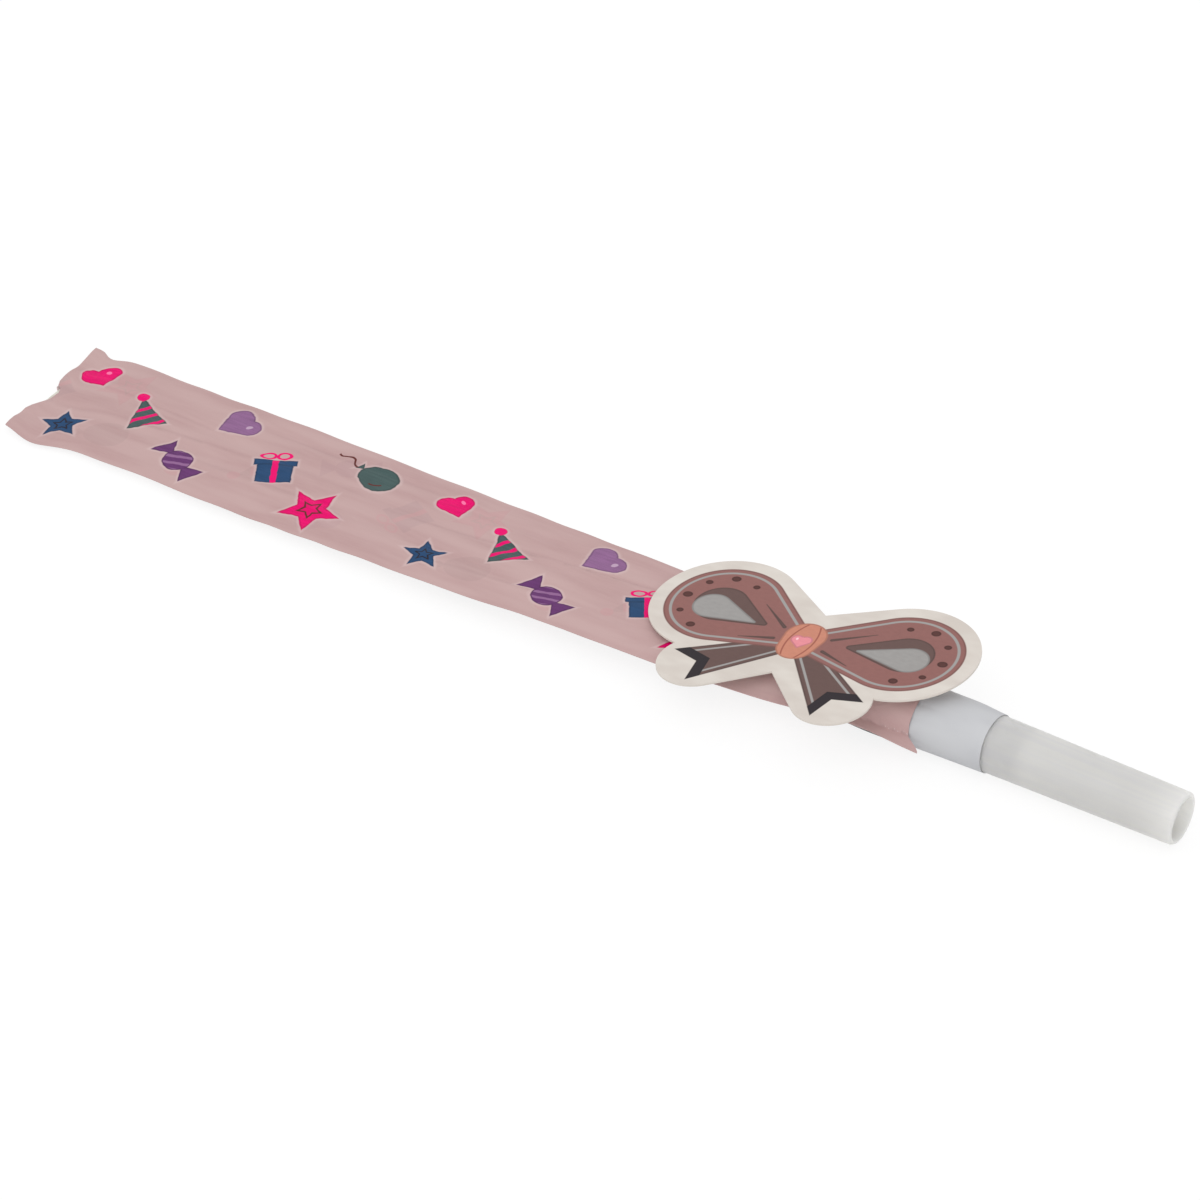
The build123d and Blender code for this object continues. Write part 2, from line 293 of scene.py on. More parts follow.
class Effect:
    """A shared shader node group: built once, then placed in each material with its own values."""

    title: ClassVar[str]
    takes: ClassVar[dict[str, Socket]]
    gives: ClassVar[dict[str, Socket]]

    @classmethod
    def wire(cls, graph: Graph, given: dict[str, Field]) -> dict[str, Field]:
        """Wire the group's inside.

        Args:
            graph: The group's own tree.
            given: The group's inputs by name.

        Returns:
            The group's outputs by name.
        """
        raise NotImplementedError

    @classmethod
    def tree(cls) -> bpy.types.NodeTree:
        """The group's tree, built at its first use."""
        found = bpy.data.node_groups.get(cls.title)
        if found:
            return found
        tree = bpy.data.node_groups.new(cls.title, "ShaderNodeTree")
        for name, kind in cls.takes.items():
            tree.interface.new_socket(name, in_out="INPUT", socket_type=kind.value)
        for name, kind in cls.gives.items():
            tree.interface.new_socket(name, in_out="OUTPUT", socket_type=kind.value)
        graph = Graph(tree)
        entry = graph.node("NodeGroupInput")
        outlet = graph.node("NodeGroupOutput")
        given = {name: Field(graph, entry.outputs[name]) for name in cls.takes}
        for name, value in cls.wire(graph, given).items():
            graph.feed(outlet.inputs[name], value)
        return tree

    @classmethod
    def place(cls, graph: Graph, values: dict[str, Value]) -> dict[str, Field]:
        """Place the group in a tree.

        Args:
            graph: The tree to place it in.
            values: Its inputs by name.

        Returns:
            Its outputs by name.
        """
        node = graph.node("ShaderNodeGroup", node_tree=cls.tree())
        graph.filled(node, values)
        return {name: Field(graph, node.outputs[name]) for name in cls.gives}


class PaperGrain(Effect):
    """Fibres of paper, stretched along the web, and the uneven cloud of a thin sheet."""

    title = "PaperGrain"
    takes = {"Point": Socket.VECTOR, "Stretch": Socket.NUMBER}
    gives = {"Tone": Socket.NUMBER, "Cloud": Socket.NUMBER}
    fibre: ClassVar[tuple[float, float]] = (1.1, 3.0)  # scale and detail of its noise
    speck: ClassVar[tuple[float, float]] = (3.5, 2.0)
    cloud: ClassVar[tuple[float, float]] = (0.16, 2.0)
    fibre_share: ClassVar[float] = 0.65

    @classmethod
    def wire(cls, graph: Graph, given: dict[str, Field]) -> dict[str, Field]:
        """See Effect.wire."""
        x, y = graph.split(given["Point"])
        along = graph.join(x / given["Stretch"], y)
        fibre = graph.noise(along, *cls.fibre)
        speck = graph.noise(given["Point"], *cls.speck)
        tone = fibre * cls.fibre_share + speck * (1 - cls.fibre_share)
        return {"Tone": tone, "Cloud": graph.noise(along, *cls.cloud)}


class Crease(Effect):
    """One long crease in paper: 1 on its line, falling off to each side and fading at both ends."""

    title = "Crease"
    takes = {"Point": Socket.VECTOR, "Start": Socket.VECTOR, "End": Socket.VECTOR, "Width": Socket.NUMBER}
    gives = {"Height": Socket.NUMBER}
    bends: ClassVar[float] = 0.12  # scale of the noise that sways it
    slack: ClassVar[float] = 1.6  # widths over which it falls off
    full: ClassVar[Stretch] = (0.25, 0.7)  # shares of its length between which it doesn't fade

    @classmethod
    def wire(cls, graph: Graph, given: dict[str, Field]) -> dict[str, Field]:
        """See Effect.wire."""
        along, off, _, length = graph.beside(given)
        sway = graph.noise(given["Point"], cls.bends, 1.0) * given["Width"]
        share = along / length
        fade = share.ramp(0.0, cls.full[0]) * share.ramp(1.0, cls.full[1])
        return {"Height": (1.0 - (off + sway) / (given["Width"] * cls.slack)).most(0.0) * fade}


class Motif(Effect):
    """A small printed figure of size 1 round its centre, given as distances in millimetres."""

    takes = {"Point": Socket.VECTOR, "Centre": Socket.VECTOR, "Turn": Socket.NUMBER, "Size": Socket.NUMBER}
    gives = {"Shape": Socket.NUMBER, "Detail": Socket.NUMBER}

    @classmethod
    def outline(cls, graph: Graph, x: Field, y: Field) -> tuple[Field, Field]:
        """Draw the figure at size 1.

        Args:
            graph: The group's tree.
            x: Place across the figure.
            y: Place up the figure.

        Returns:
            Distances to the figure and to its detail, negative inside.
        """
        raise NotImplementedError

    @classmethod
    def wire(cls, graph: Graph, given: dict[str, Field]) -> dict[str, Field]:
        """See Effect.wire."""
        x, y = graph.split(graph.vectors("SUBTRACT", given["Point"], given["Centre"]))
        cosine, sine = given["Turn"].cosine(), given["Turn"].sine()
        across = (x * cosine + y * sine) / given["Size"]
        upward = (y * cosine - x * sine) / given["Size"]
        shape, detail = cls.outline(graph, across, upward)
        return {"Shape": shape * given["Size"], "Detail": detail * given["Size"]}


class Star(Motif):
    """Five-pointed star with a drawn line inside its edge."""

    title = "StarMotif"
    points: ClassVar[int] = 5
    valley: ClassVar[float] = 0.47

    @classmethod
    def outline(cls, graph: Graph, x: Field, y: Field) -> tuple[Field, Field]:
        """See Motif.outline."""
        half = math.pi / cls.points
        inner_x, inner_y = cls.valley * math.cos(half), cls.valley * math.sin(half)
        edge = math.hypot(1 - inner_x, inner_y)
        radius = graph.hypot(x, y)
        fold = abs((graph.math("ARCTAN2", x, y) + half).wrapped(2 * half) - half)
        along, off = radius * fold.cosine(), radius * fold.sine()
        shape = (along - 1.0) * (inner_y / edge) + off * ((1 - inner_x) / edge) - 0.08
        return shape, abs(shape + 0.3) - 0.035


class Heart(Motif):
    """Heart with a small shine."""

    title = "HeartMotif"

    @classmethod
    def outline(cls, graph: Graph, x: Field, y: Field) -> tuple[Field, Field]:
        """See Motif.outline."""
        across, upward = abs(x) * 0.62, y * 0.62 + 0.55
        lobe = graph.hypot(across - 0.25, upward - 0.75) - 0.3536
        side = (across - upward) * 0.7071
        shape = (across + upward).above(1.0).switch(side, lobe) / 0.62 - 0.03
        return shape, graph.hypot((x + 0.42) * 1.5, y - 0.38) - 0.17


class Balloon(Motif):
    """Balloon with a knot, a wavy string and a drawn shine."""

    title = "BalloonMotif"

    @classmethod
    def outline(cls, graph: Graph, x: Field, y: Field) -> tuple[Field, Field]:
        """See Motif.outline."""
        body = graph.hypot(x * (1.0 - y * 0.18), y * 0.84) - 0.76
        knot = (abs(x) + (y + 0.86) * 0.9).most(-1.14 - y)
        wave = abs(x - (y * 6.5).sine() * 0.14) - 0.05
        string = wave.most(y + 1.1).most(-2.3 - y)
        shine = (abs(graph.hypot(x, y) - 0.5) - 0.04).most(x + 0.2).most(0.05 - y)
        return body.least(knot), string.least(shine)


class Gift(Motif):
    """Parcel with a lid, a ribbon and a bow."""

    title = "GiftMotif"

    @classmethod
    def outline(cls, graph: Graph, x: Field, y: Field) -> tuple[Field, Field]:
        """See Motif.outline."""
        box = (abs(x) - 0.74).most(abs(y + 0.25) - 0.58)
        lid = (abs(x) - 0.88).most(abs(y - 0.47) - 0.18)
        band = (abs(x) - 0.13).most(abs(y + 0.1) - 0.74)
        loop = abs(graph.hypot(abs(x) - 0.33, (y - 0.92) * 1.5) - 0.28) - 0.07
        return box.least(lid), band.least(loop)


class PartyHat(Motif):
    """Pointed hat with bands and a tuft."""

    title = "HatMotif"

    @classmethod
    def outline(cls, graph: Graph, x: Field, y: Field) -> tuple[Field, Field]:
        """See Motif.outline."""
        cone = ((abs(x) - (0.95 - y) * 0.42) * 0.92).most(-0.85 - y)
        tuft = graph.hypot(x, y - 1.0) - 0.24
        band = (abs((y + x * 0.35).wrapped(0.56) - 0.28) - 0.09).most(cone + 0.02)
        return cone.least(tuft), band.least(tuft)


class Sweet(Motif):
    """Wrapped sweet with slanting stripes."""

    title = "SweetMotif"

    @classmethod
    def outline(cls, graph: Graph, x: Field, y: Field) -> tuple[Field, Field]:
        """See Motif.outline."""
        ball = graph.hypot(x, y) - 0.6
        wing = (abs(y) - (abs(x) - 0.4) * 0.75).most(0.5 - abs(x)).most(abs(x) - 1.15)
        stripe = (abs(((x + y) * 0.8).wrapped(0.44) - 0.22) - 0.08).most(ball + 0.05)
        return ball.least(wing), stripe


class RoundHull(Effect):
    """Distance to the outline round two circles, in millimetres, negative inside."""

    title = "RoundHull"
    takes = {"Point": Socket.VECTOR, "Start": Socket.VECTOR, "End": Socket.VECTOR,
             "Start Radius": Socket.NUMBER, "End Radius": Socket.NUMBER}
    gives = {"Distance": Socket.NUMBER}

    @classmethod
    def wire(cls, graph: Graph, given: dict[str, Field]) -> dict[str, Field]:
        """See Effect.wire."""
        along, off, reach, length = graph.beside(given)
        lean = (given["Start Radius"] - given["End Radius"]) / length
        rise = graph.math("SQRT", 1.0 - lean * lean)
        place = along * rise - off * lean
        side = off * rise + along * lean - given["Start Radius"]
        far = graph.vectors("DISTANCE", given["Point"], given["End"], output="Value") - given["End Radius"]
        near_or_side = place.above(0.0).switch(reach - given["Start Radius"], side)
        return {"Distance": place.above(length * rise).switch(near_or_side, far)}


class Ink(Effect):
    """One printed figure laid over what is under it, with uneven ink and a pale edge where it was trapped."""

    title = "Ink"
    takes = {"Under": Socket.COLOUR, "Shape": Socket.NUMBER, "Detail": Socket.NUMBER, "Ink": Socket.COLOUR,
             "Detail Ink": Socket.COLOUR, "Grain": Socket.NUMBER, "Pale Edge": Socket.NUMBER}
    gives = {"Color": Socket.COLOUR, "Cover": Socket.NUMBER}
    pale: ClassVar[Colour] = paint(226, 205, 204)
    blur: ClassVar[float] = 0.16  # half width over which the ink's edge fades
    fine_blur: ClassVar[float] = 0.13  # the same of the detail
    trapped: ClassVar[Stretch] = (1.0, 0.2)  # distances from the ink over which the pale edge fades in
    mottle: ClassVar[tuple[float, float]] = (0.8, 1.1)  # darkest and lightest ink
    rim: ClassVar[Stretch] = (-0.55, -0.25)  # distances inside the ink over which it darkens
    rim_shade: ClassVar[float] = 0.72

    @classmethod
    def wire(cls, graph: Graph, given: dict[str, Field]) -> dict[str, Field]:
        """See Effect.wire."""
        cover = given["Shape"].ramp(cls.blur, -cls.blur)
        fine = given["Detail"].ramp(cls.fine_blur, -cls.fine_blur)
        edge = given["Shape"].ramp(*cls.trapped) * given["Pale Edge"]
        mottled = given["Grain"].ramp(0.25, 0.75, *cls.mottle)
        uneven = mottled * given["Shape"].ramp(*cls.rim, 1.0, cls.rim_shade)
        scaled = graph.node("ShaderNodeVectorMath", operation="SCALE")
        ink = graph.filled(scaled, {0: given["Ink"], "Scale": uneven})
        laid = graph.mix(cover, graph.mix(edge, given["Under"], cls.pale), ink)
        return {"Color": graph.mix(fine, laid, given["Detail Ink"]), "Cover": cover.most(fine)}


@dataclass(frozen=True)
class Finish:
    """A surface finish: one procedural material, made at its first use."""

    title: str
    slot: str
    roughness: float
    gloss_ends: ClassVar[Stretch] = (0.3, 0.7)  # marks between which the gloss changes
    gloss_spread: ClassVar[tuple[float, float]] = (-0.08, 0.08)  # how far the roughness strays there

    def surface(self, graph: Graph, shader: bpy.types.Node) -> None:
        """Wire what changes over the surface into the shader.

        Args:
            graph: The material's tree.
            shader: Its Principled shader.
        """
        raise NotImplementedError

    def material(self) -> bpy.types.Material:
        """The finish's material, built at its first use."""
        found = bpy.data.materials.get(self.title)
        if found:
            return found
        made = bpy.data.materials.new(self.title)
        made.use_nodes = True
        graph = Graph(made.node_tree)
        shader = made.node_tree.nodes["Principled BSDF"]
        shader.inputs["Roughness"].default_value = self.roughness
        self.surface(graph, shader)
        return made

    def dress(self, piece: bpy.types.Object) -> None:
        """Give a piece this finish as its only material."""
        piece.data.materials.clear()
        piece.data.materials.append(self.material())

    def rough(self, marks: Field) -> Field:
        """Roughness that strays with the marks on the surface."""
        low, high = (self.roughness + stray for stray in self.gloss_spread)
        return marks.ramp(*self.gloss_ends, low, high)

    @staticmethod
    def coat(graph: Graph, shader: bpy.types.Node, colour: Field, gloss: Field) -> None:
        """Feed the shader's colour and roughness."""
        graph.feed(shader.inputs["Base Color"], colour)
        graph.feed(shader.inputs["Roughness"], gloss)

    @staticmethod
    def object_point(graph: Graph) -> Field:
        """Place on the piece in millimetres."""
        place = graph.node("ShaderNodeTexCoord")
        return graph.vectors("MULTIPLY", Field(graph, place.outputs["Object"]), (1 / MM, 1 / MM, 1 / MM))

    @staticmethod
    def relief(graph: Graph, shader: bpy.types.Node, height: Field, depth: float, strength: float) -> None:
        """Raise the surface by a height field.

        Args:
            graph: The material's tree.
            shader: The shader whose Normal is fed.
            height: Height from 0 to 1.
            depth: Height of 1, in millimetres.
            strength: Share of the effect.
        """
        values = {"Distance": depth * MM, "Strength": strength, "Height": height}
        graph.feed(shader.inputs["Normal"], graph.filled(graph.node("ShaderNodeBump"), values, "Normal"))


@dataclass(frozen=True)
class Print:
    """One figure of the tube's print: what it is, where it lies and its inks."""

    motif: type[Motif]
    run: float
    across: float
    size: float
    turn: float
    ink: Colour
    detail: Colour


HOT_PINK = paint(236, 0, 110)
BLUE = paint(42, 75, 114)
VIOLET = paint(147, 104, 147)
PURPLE = paint(106, 58, 112)
TEAL = paint(73, 94, 93)
BROWN = paint(98, 46, 42)
DARK = paint(40, 32, 38)


@dataclass(frozen=True)
class PrintedPaper(Finish):
    """Thin dusty pink paper, printed with party figures on both sides of the flat tube."""

    gloss_ends = (0.2, 0.8)
    gloss_spread = (0.0, 0.12)
    tone: Colour = paint(198, 168, 166)
    shade: Colour = paint(188, 155, 154)
    # painted shade: the darker pink laid along the creases
    crease_shade_tone: Colour = paint(168, 134, 135)
    inside_tone: Colour = paint(214, 197, 195)
    inside_shade: Colour = paint(205, 184, 182)
    repeat: float = 108.0  # length of the print's repeat along the tube
    under_shift: float = 39.0  # how far the underside's print lies along from the top's
    face: float = 39.0  # width of one side of the flat tube
    show_through: float = 0.055  # how much of the other side's print shows
    pale_edge: float = 0.3  # how pale the paper is round a figure
    fibres: float = 6.0  # how much longer than wide they are
    wobble: tuple[float, float] = (0.7, 0.45)  # how far the printed outlines stray, and how quickly
    shine: float = 0.1
    ink_gloss: float = 0.1  # how much smoother the ink is than the paper
    crease_shade_share: float = 0.3  # how much painted shade darkens the paper along a crease
    crease_depth: float = 0.22
    grain_depth: float = 0.02
    relief_share: float = 0.7
    creases: tuple[CreaseLine, ...] = (
        (160.0, -1.0, 60.0, 9.0, 0.7), (256.0, -4.4, 168.0, 2.2, 0.9), (252.0, 7.5, 196.0, 5.0, 0.7),
        (232.0, -9.0, 150.0, -5.0, 1.1), (140.0, -12.5, 86.0, -8.0, 0.8), (200.0, 12.0, 118.0, 13.5, 0.9),
        (210.0, 34.0, 90.0, 30.0, 0.9), (180.0, -33.0, 60.0, -28.0, 0.8))
    prints: tuple[Print, ...] = (
        Print(PartyHat, 9.0, 2.5, 6.8, -0.7, TEAL, HOT_PINK),
        Print(Star, 24.0, -10.5, 4.8, 0.9, BLUE, DARK),
        Print(Heart, 28.0, 10.5, 4.8, -0.7, HOT_PINK, paint(250, 120, 170)),
        Print(Balloon, 51.0, 10.0, 6.4, 1.9, TEAL, BROWN),
        Print(Star, 58.0, -9.5, 7.0, 0.3, HOT_PINK, BROWN),
        Print(Gift, 75.0, -0.5, 6.2, -0.5, BLUE, HOT_PINK),
        Print(Heart, 94.0, 10.5, 5.8, 0.6, VIOLET, paint(190, 160, 186)),
        Print(Sweet, 98.0, -10.0, 6.6, 0.5, PURPLE, VIOLET),
    )

    def creased(self, graph: Graph, flat: Field) -> Field:
        """Height of all the creases together, from 0 to about 1."""
        height = None
        for start_run, start_across, end_run, end_across, width in self.creases:
            crease = Crease.place(graph, {"Point": flat, "Start": (start_run, start_across, 0.0),
                                          "End": (end_run, end_across, 0.0), "Width": width})["Height"]
            height = crease if height is None else height + crease
        return height

    def lay(self, graph: Graph, under: Field, point: Field, grain: Field) -> tuple[Field, Field]:
        """Lay every figure over a colour.

        Args:
            graph: The material's tree.
            under: The bare paper's colour.
            point: Place in the print's repeat.
            grain: Unevenness of the ink.

        Returns:
            The printed colour, and where ink lies.
        """
        covered = None
        for each in self.prints:
            figure = each.motif.place(graph, {"Point": point, "Centre": (each.run, each.across, 0.0),
                                              "Turn": each.turn, "Size": each.size})
            ink = Ink.place(graph, {"Under": under, "Shape": figure["Shape"], "Detail": figure["Detail"],
                                    "Ink": each.ink, "Detail Ink": each.detail, "Grain": grain,
                                    "Pale Edge": self.pale_edge})
            under = ink["Color"]
            covered = ink["Cover"] if covered is None else covered.most(ink["Cover"])
        return under, covered

    def surface(self, graph: Graph, shader: bpy.types.Node) -> None:
        """See Finish.surface."""
        flat = Field(graph, graph.node("ShaderNodeUVMap", uv_map=PRINT_MAP).outputs["UV"])
        grain = PaperGrain.place(graph, {"Point": flat, "Stretch": self.fibres})
        run, across = graph.split(flat)
        stray, speed = self.wobble
        stray_run, stray_across = graph.split(graph.noise(flat, speed, 1.0, "Color"))
        side = graph.math("ROUND", across / self.face)
        below = abs(side).least(1.0)
        local_run = (run + below * self.under_shift).wrapped(self.repeat)
        local_across = across - side * self.face
        other_run = (run + (1.0 - below) * self.under_shift).wrapped(self.repeat)
        here = graph.join(local_run + (stray_run - 0.5) * stray, local_across + (stray_across - 0.5) * stray)
        beyond = graph.join(other_run, local_across * -1.0)
        folds = self.creased(graph, flat)
        bare = graph.mix(grain["Cloud"].ramp(0.3, 0.7), self.shade, self.tone)
        bare = graph.mix(grain["Tone"].ramp(0.35, 0.65, 0.0, 0.35), bare, self.tone)
        # painted shade: the paper darkened along its creases
        bare = graph.mix(folds * self.crease_shade_share, bare, self.crease_shade_tone)
        ghost, _ = self.lay(graph, bare, beyond, grain["Tone"])
        seen = graph.mix(self.show_through, bare, ghost)
        printed, covered = self.lay(graph, seen, here, grain["Tone"])
        plain = graph.mix(grain["Cloud"].ramp(0.3, 0.7), self.inside_shade, self.inside_tone)
        colour = graph.mix(across.above(INSIDE / 2), printed, plain)
        gloss = covered.switch(self.rough(grain["Tone"]), self.roughness - self.ink_gloss)
        self.coat(graph, shader, colour, gloss)
        shader.inputs["Specular IOR Level"].default_value = self.shine
        height = grain["Tone"] * self.grain_depth - folds * self.crease_depth
        self.relief(graph, shader, height, 1.0, self.relief_share)


@dataclass(frozen=True)
class PlainPaper(Finish):
    """Smooth bluish white paper."""

    gloss_ends = (0.2, 0.8)
    tone: Colour = paint(199, 200, 203)
    shade: Colour = paint(191, 192, 196)
    fibres: float = 3.0  # how much longer than wide they are
    grain_depth: float = 0.02

    def surface(self, graph: Graph, shader: bpy.types.Node) -> None:
        """See Finish.surface."""
        grain = PaperGrain.place(graph, {"Point": self.object_point(graph), "Stretch": self.fibres})
        cloud = graph.mix(grain["Cloud"].ramp(0.3, 0.7), self.shade, self.tone)
        colour = graph.mix(grain["Tone"].ramp(0.35, 0.7, 0.0, 0.4), cloud, self.tone)
        self.coat(graph, shader, colour, self.rough(grain["Tone"]))
        self.relief(graph, shader, grain["Tone"], self.grain_depth, 0.5)


@dataclass(frozen=True)
class MilkyPlastic(Finish):
    """Milky translucent moulded plastic, with the faint flow lines of the mould along it."""

    gloss_spread = (-0.06, 0.06)
    tone: Colour = paint(226, 224, 217)
    shade: Colour = paint(222, 220, 216)
    flow: tuple[float, float, float] = (0.004, 0.7, 0.7)  # how its lines are drawn out
    glow_depth: float = 8.0  # how far light spreads in it
    glow_tint: tuple[float, float, float] = (1.0, 1.0, 0.95)
    refraction: float = 1.45
    mark_depth: float = 0.03

    def surface(self, graph: Graph, shader: bpy.types.Node) -> None:
        """See Finish.surface."""
        point = self.object_point(graph)
        flow = graph.streaks(point, self.flow)
        speck = graph.noise(point, 1.6, 3.0)
        colour = graph.mix(flow.ramp(0.35, 0.65), self.shade, self.tone)
        self.coat(graph, shader, colour, self.rough(speck))
        shader.inputs["Subsurface Weight"].default_value = 1.0
        shader.inputs["Subsurface Radius"].default_value = self.glow_tint
        shader.inputs["Subsurface Scale"].default_value = self.glow_depth * MM
        shader.inputs["IOR"].default_value = self.refraction
        self.relief(graph, shader, flow * 0.7 + speck * 0.3, self.mark_depth, 0.35)


@dataclass(frozen=True)
class PrintedCard(Finish):
    """Off-white card printed with a ribbon bow, with bare border and bare cut edges."""

    origin: tuple[float, float, float] = (0.0, 0.0, 0.0)  # the knot's middle, in the row frame
    tilt: float = 0.0  # how steeply the card rises towards the mouth
    loop_root: Circle = (0.0, 0.0, 3.2)
    loop: Circle = (24.0, 5.5, 14.5)
    loop_line: tuple[float, float] = (1.7, 0.35)  # how far inside its edge a line runs, and its half width
    opening: tuple[Circle, Circle] = ((11.5, 2.6, 0.8), (25.0, 5.4, 6.6))
    inner_wall: tuple[Circle, Circle] = ((14.0, 2.2, 0.4), (26.6, 3.9, 4.7))
    pleats: tuple[tuple[Circle, Circle], ...] = (
        ((6.4, 3.4, 0.5), (15.0, 9.6, 0.1)), ((6.6, -1.4, 0.5), (14.5, -4.0, 0.1)))
    knot: tuple[Circle, Circle] = ((0.0, -2.6, 4.5), (0.0, 2.2, 5.2))
    knot_crease: tuple[float, float, float] = (3.1, 0.035, 0.2)  # place, bow and half width
    knot_edge: float = 0.5  # how far from the knot's edge its creases end
    heart: tuple[float, float, float] = (-0.2, 0.15, 2.7)  # place, turn and size
    tail: tuple[float, float] = (18.0, -16.5)  # place of a tail's end
    tail_widths: tuple[float, float] = (2.6, 0.13)  # half width at the knot, and its growth along the tail
    tail_line: tuple[float, float] = (1.5, 0.3)  # as loop_line
    notch: tuple[float, float] = (24.5, 0.62)  # depth and slope of the notch in a tail's end
    tip_band: float = 3.2
    dot_squash: float = 1.15
    dots: tuple[Circle, ...] = (
        (27.2, -4.6, 1.15), (32.6, -0.6, 0.9), (34.3, 5.6, 1.25),
        (32.2, 11.9, 0.95), (27.0, 15.6, 1.2), (20.8, 14.6, 0.9))
    board: Colour = paint(221, 214, 206)
    board_shade: Colour = paint(210, 201, 193)
    ribbon: Colour = paint(147, 100, 95)
    ribbon_dark: Colour = paint(104, 80, 76)
    lining: Colour = paint(160, 157, 155)
    knot_ink: Colour = paint(206, 137, 114)
    knot_line: Colour = paint(160, 92, 76)
    heart_ink: Colour = paint(236, 146, 156)
    heart_shine: Colour = paint(250, 205, 208)
    dot_ink: Colour = paint(88, 50, 46)
    fibres: float = 2.0  # how much longer than wide they are
    shine: float = 0.2
    grain_depth: float = 0.015
    gloss_ends = (0.2, 0.8)
    gloss_spread = (-0.06, 0.06)
    no_detail: ClassVar[float] = 9.0  # distance to the detail of a figure that has none

    @staticmethod
    def hull(graph: Graph, point: Field, start: Circle, end: Circle) -> Field:
        """Distance to the outline round two circles."""
        values = {"Point": point, "Start": (*start[:2], 0.0), "Start Radius": start[2],
                  "End": (*end[:2], 0.0), "End Radius": end[2]}
        return RoundHull.place(graph, values)["Distance"]

    def picture(self, graph: Graph, x: Field, y: Field, colour: Field, tone: Field) -> Field:
        """Print the bow over the bare card.

        Args:
            graph: The material's tree.
            x: Place along the card from the knot's middle.
            y: Place across it.
            colour: The bare card's colour.
            tone: Unevenness of the ink.

        Returns:
            The printed colour.
        """
        flat, both = graph.join(x, y), graph.join(abs(x), y)

        def lay(shape: Field, ink: Colour, detail: Value = self.no_detail, detail_ink: Colour = DARK) -> None:
            """Lay one inked shape over what is printed so far."""
            nonlocal colour
            values = {"Under": colour, "Shape": shape, "Detail": detail, "Ink": ink,
                      "Detail Ink": detail_ink, "Grain": tone, "Pale Edge": 0.0}
            colour = Ink.place(graph, values)["Color"]

        reach = math.hypot(*self.tail)
        along = abs(x) * (self.tail[0] / reach) + y * (self.tail[1] / reach)
        off = abs(abs(x) * (self.tail[1] / reach) - y * (self.tail[0] / reach))
        end = along - off * self.notch[1] - self.notch[0]
        side = off - along * self.tail_widths[1] - self.tail_widths[0]
        tail = side.most(end).most(along * -1.0)
        hem = (abs(side + self.tail_line[0]) - self.tail_line[1]).most(tail)
        lay(tail, self.ribbon_dark, hem, self.lining)
        lay(tail.most(end * -1.0 - self.tip_band), DARK)
        loop = self.hull(graph, both, self.loop_root, self.loop)
        lay(loop, self.ribbon, abs(loop + self.loop_line[0]) - self.loop_line[1], self.lining)
        lay(self.hull(graph, both, *self.opening), self.ribbon_dark)
        lay(self.hull(graph, both, *self.inner_wall), self.lining)
        for middle_x, middle_y, radius in self.dots:
            lay(graph.hypot(abs(x) - middle_x, (y - middle_y) * self.dot_squash) - radius, self.dot_ink)
        for pleat in self.pleats:
            lay(self.hull(graph, both, *pleat), self.ribbon_dark)
        knot = self.hull(graph, flat, *self.knot)
        place, bow, half = self.knot_crease
        crease = (abs(abs(x) - place + y * y * bow) - half).most(knot + self.knot_edge)
        lay(knot, self.knot_ink, crease, self.knot_line)
        place, turn, size = self.heart
        heart = Heart.place(graph, {"Point": flat, "Centre": (0.0, place, 0.0), "Turn": turn, "Size": size})
        lay(heart["Shape"], self.heart_ink, heart["Detail"], self.heart_shine)
        return colour

    def surface(self, graph: Graph, shader: bpy.types.Node) -> None:
        """See Finish.surface."""
        coordinates = graph.node("ShaderNodeTexCoord")
        values = {"Vector": Field(graph, coordinates.outputs["Object"]), "Scale": (MM, MM, MM),
                  "Location": [size * MM for size in self.origin], "Rotation": (0.0, -self.tilt, 0.0)}
        local = graph.filled(graph.node("ShaderNodeMapping", vector_type="TEXTURE"), values)
        grain = PaperGrain.place(graph, {"Point": local, "Stretch": self.fibres})
        tone = grain["Tone"] * 0.35 + 0.33
        bare = graph.mix(grain["Cloud"].ramp(0.3, 0.7), self.board_shade, self.board)
        picture = self.picture(graph, *graph.split(local), bare, tone)
        up = (-math.sin(self.tilt), 0.0, math.cos(self.tilt))
        facing = graph.vectors("DOT_PRODUCT", Field(graph, coordinates.outputs["Normal"]), up, output="Value")
        cut_edge = graph.mix(tone, self.board_shade, self.board)
        self.coat(graph, shader, graph.mix(facing.above(0.5), cut_edge, picture), self.rough(tone))
        shader.inputs["Specular IOR Level"].default_value = self.shine
        self.relief(graph, shader, grain["Tone"], self.grain_depth, 0.4)


@dataclass(frozen=True)
class Moulding(Finish):
    """Small glossy moulding with flow marks and a little speckle."""

    gloss_spread = (-0.08, 0.1)
    tone: Colour = paint(222, 213, 190)
    shade: Colour = paint(206, 196, 170)
    flow: tuple[float, float, float] = (0.1, 0.9, 0.9)  # how its marks are drawn out
    mark_depth: float = 0.01

    def surface(self, graph: Graph, shader: bpy.types.Node) -> None:
        """See Finish.surface."""
        point = self.object_point(graph)
        flow = graph.streaks(point, self.flow)
        speck = graph.noise(point, 5.0, 2.0)
        colour = graph.mix(flow.ramp(0.35, 0.65), self.shade, self.tone)
        self.coat(graph, shader, colour, self.rough(speck))
        self.relief(graph, shader, speck, self.mark_depth, 0.3)


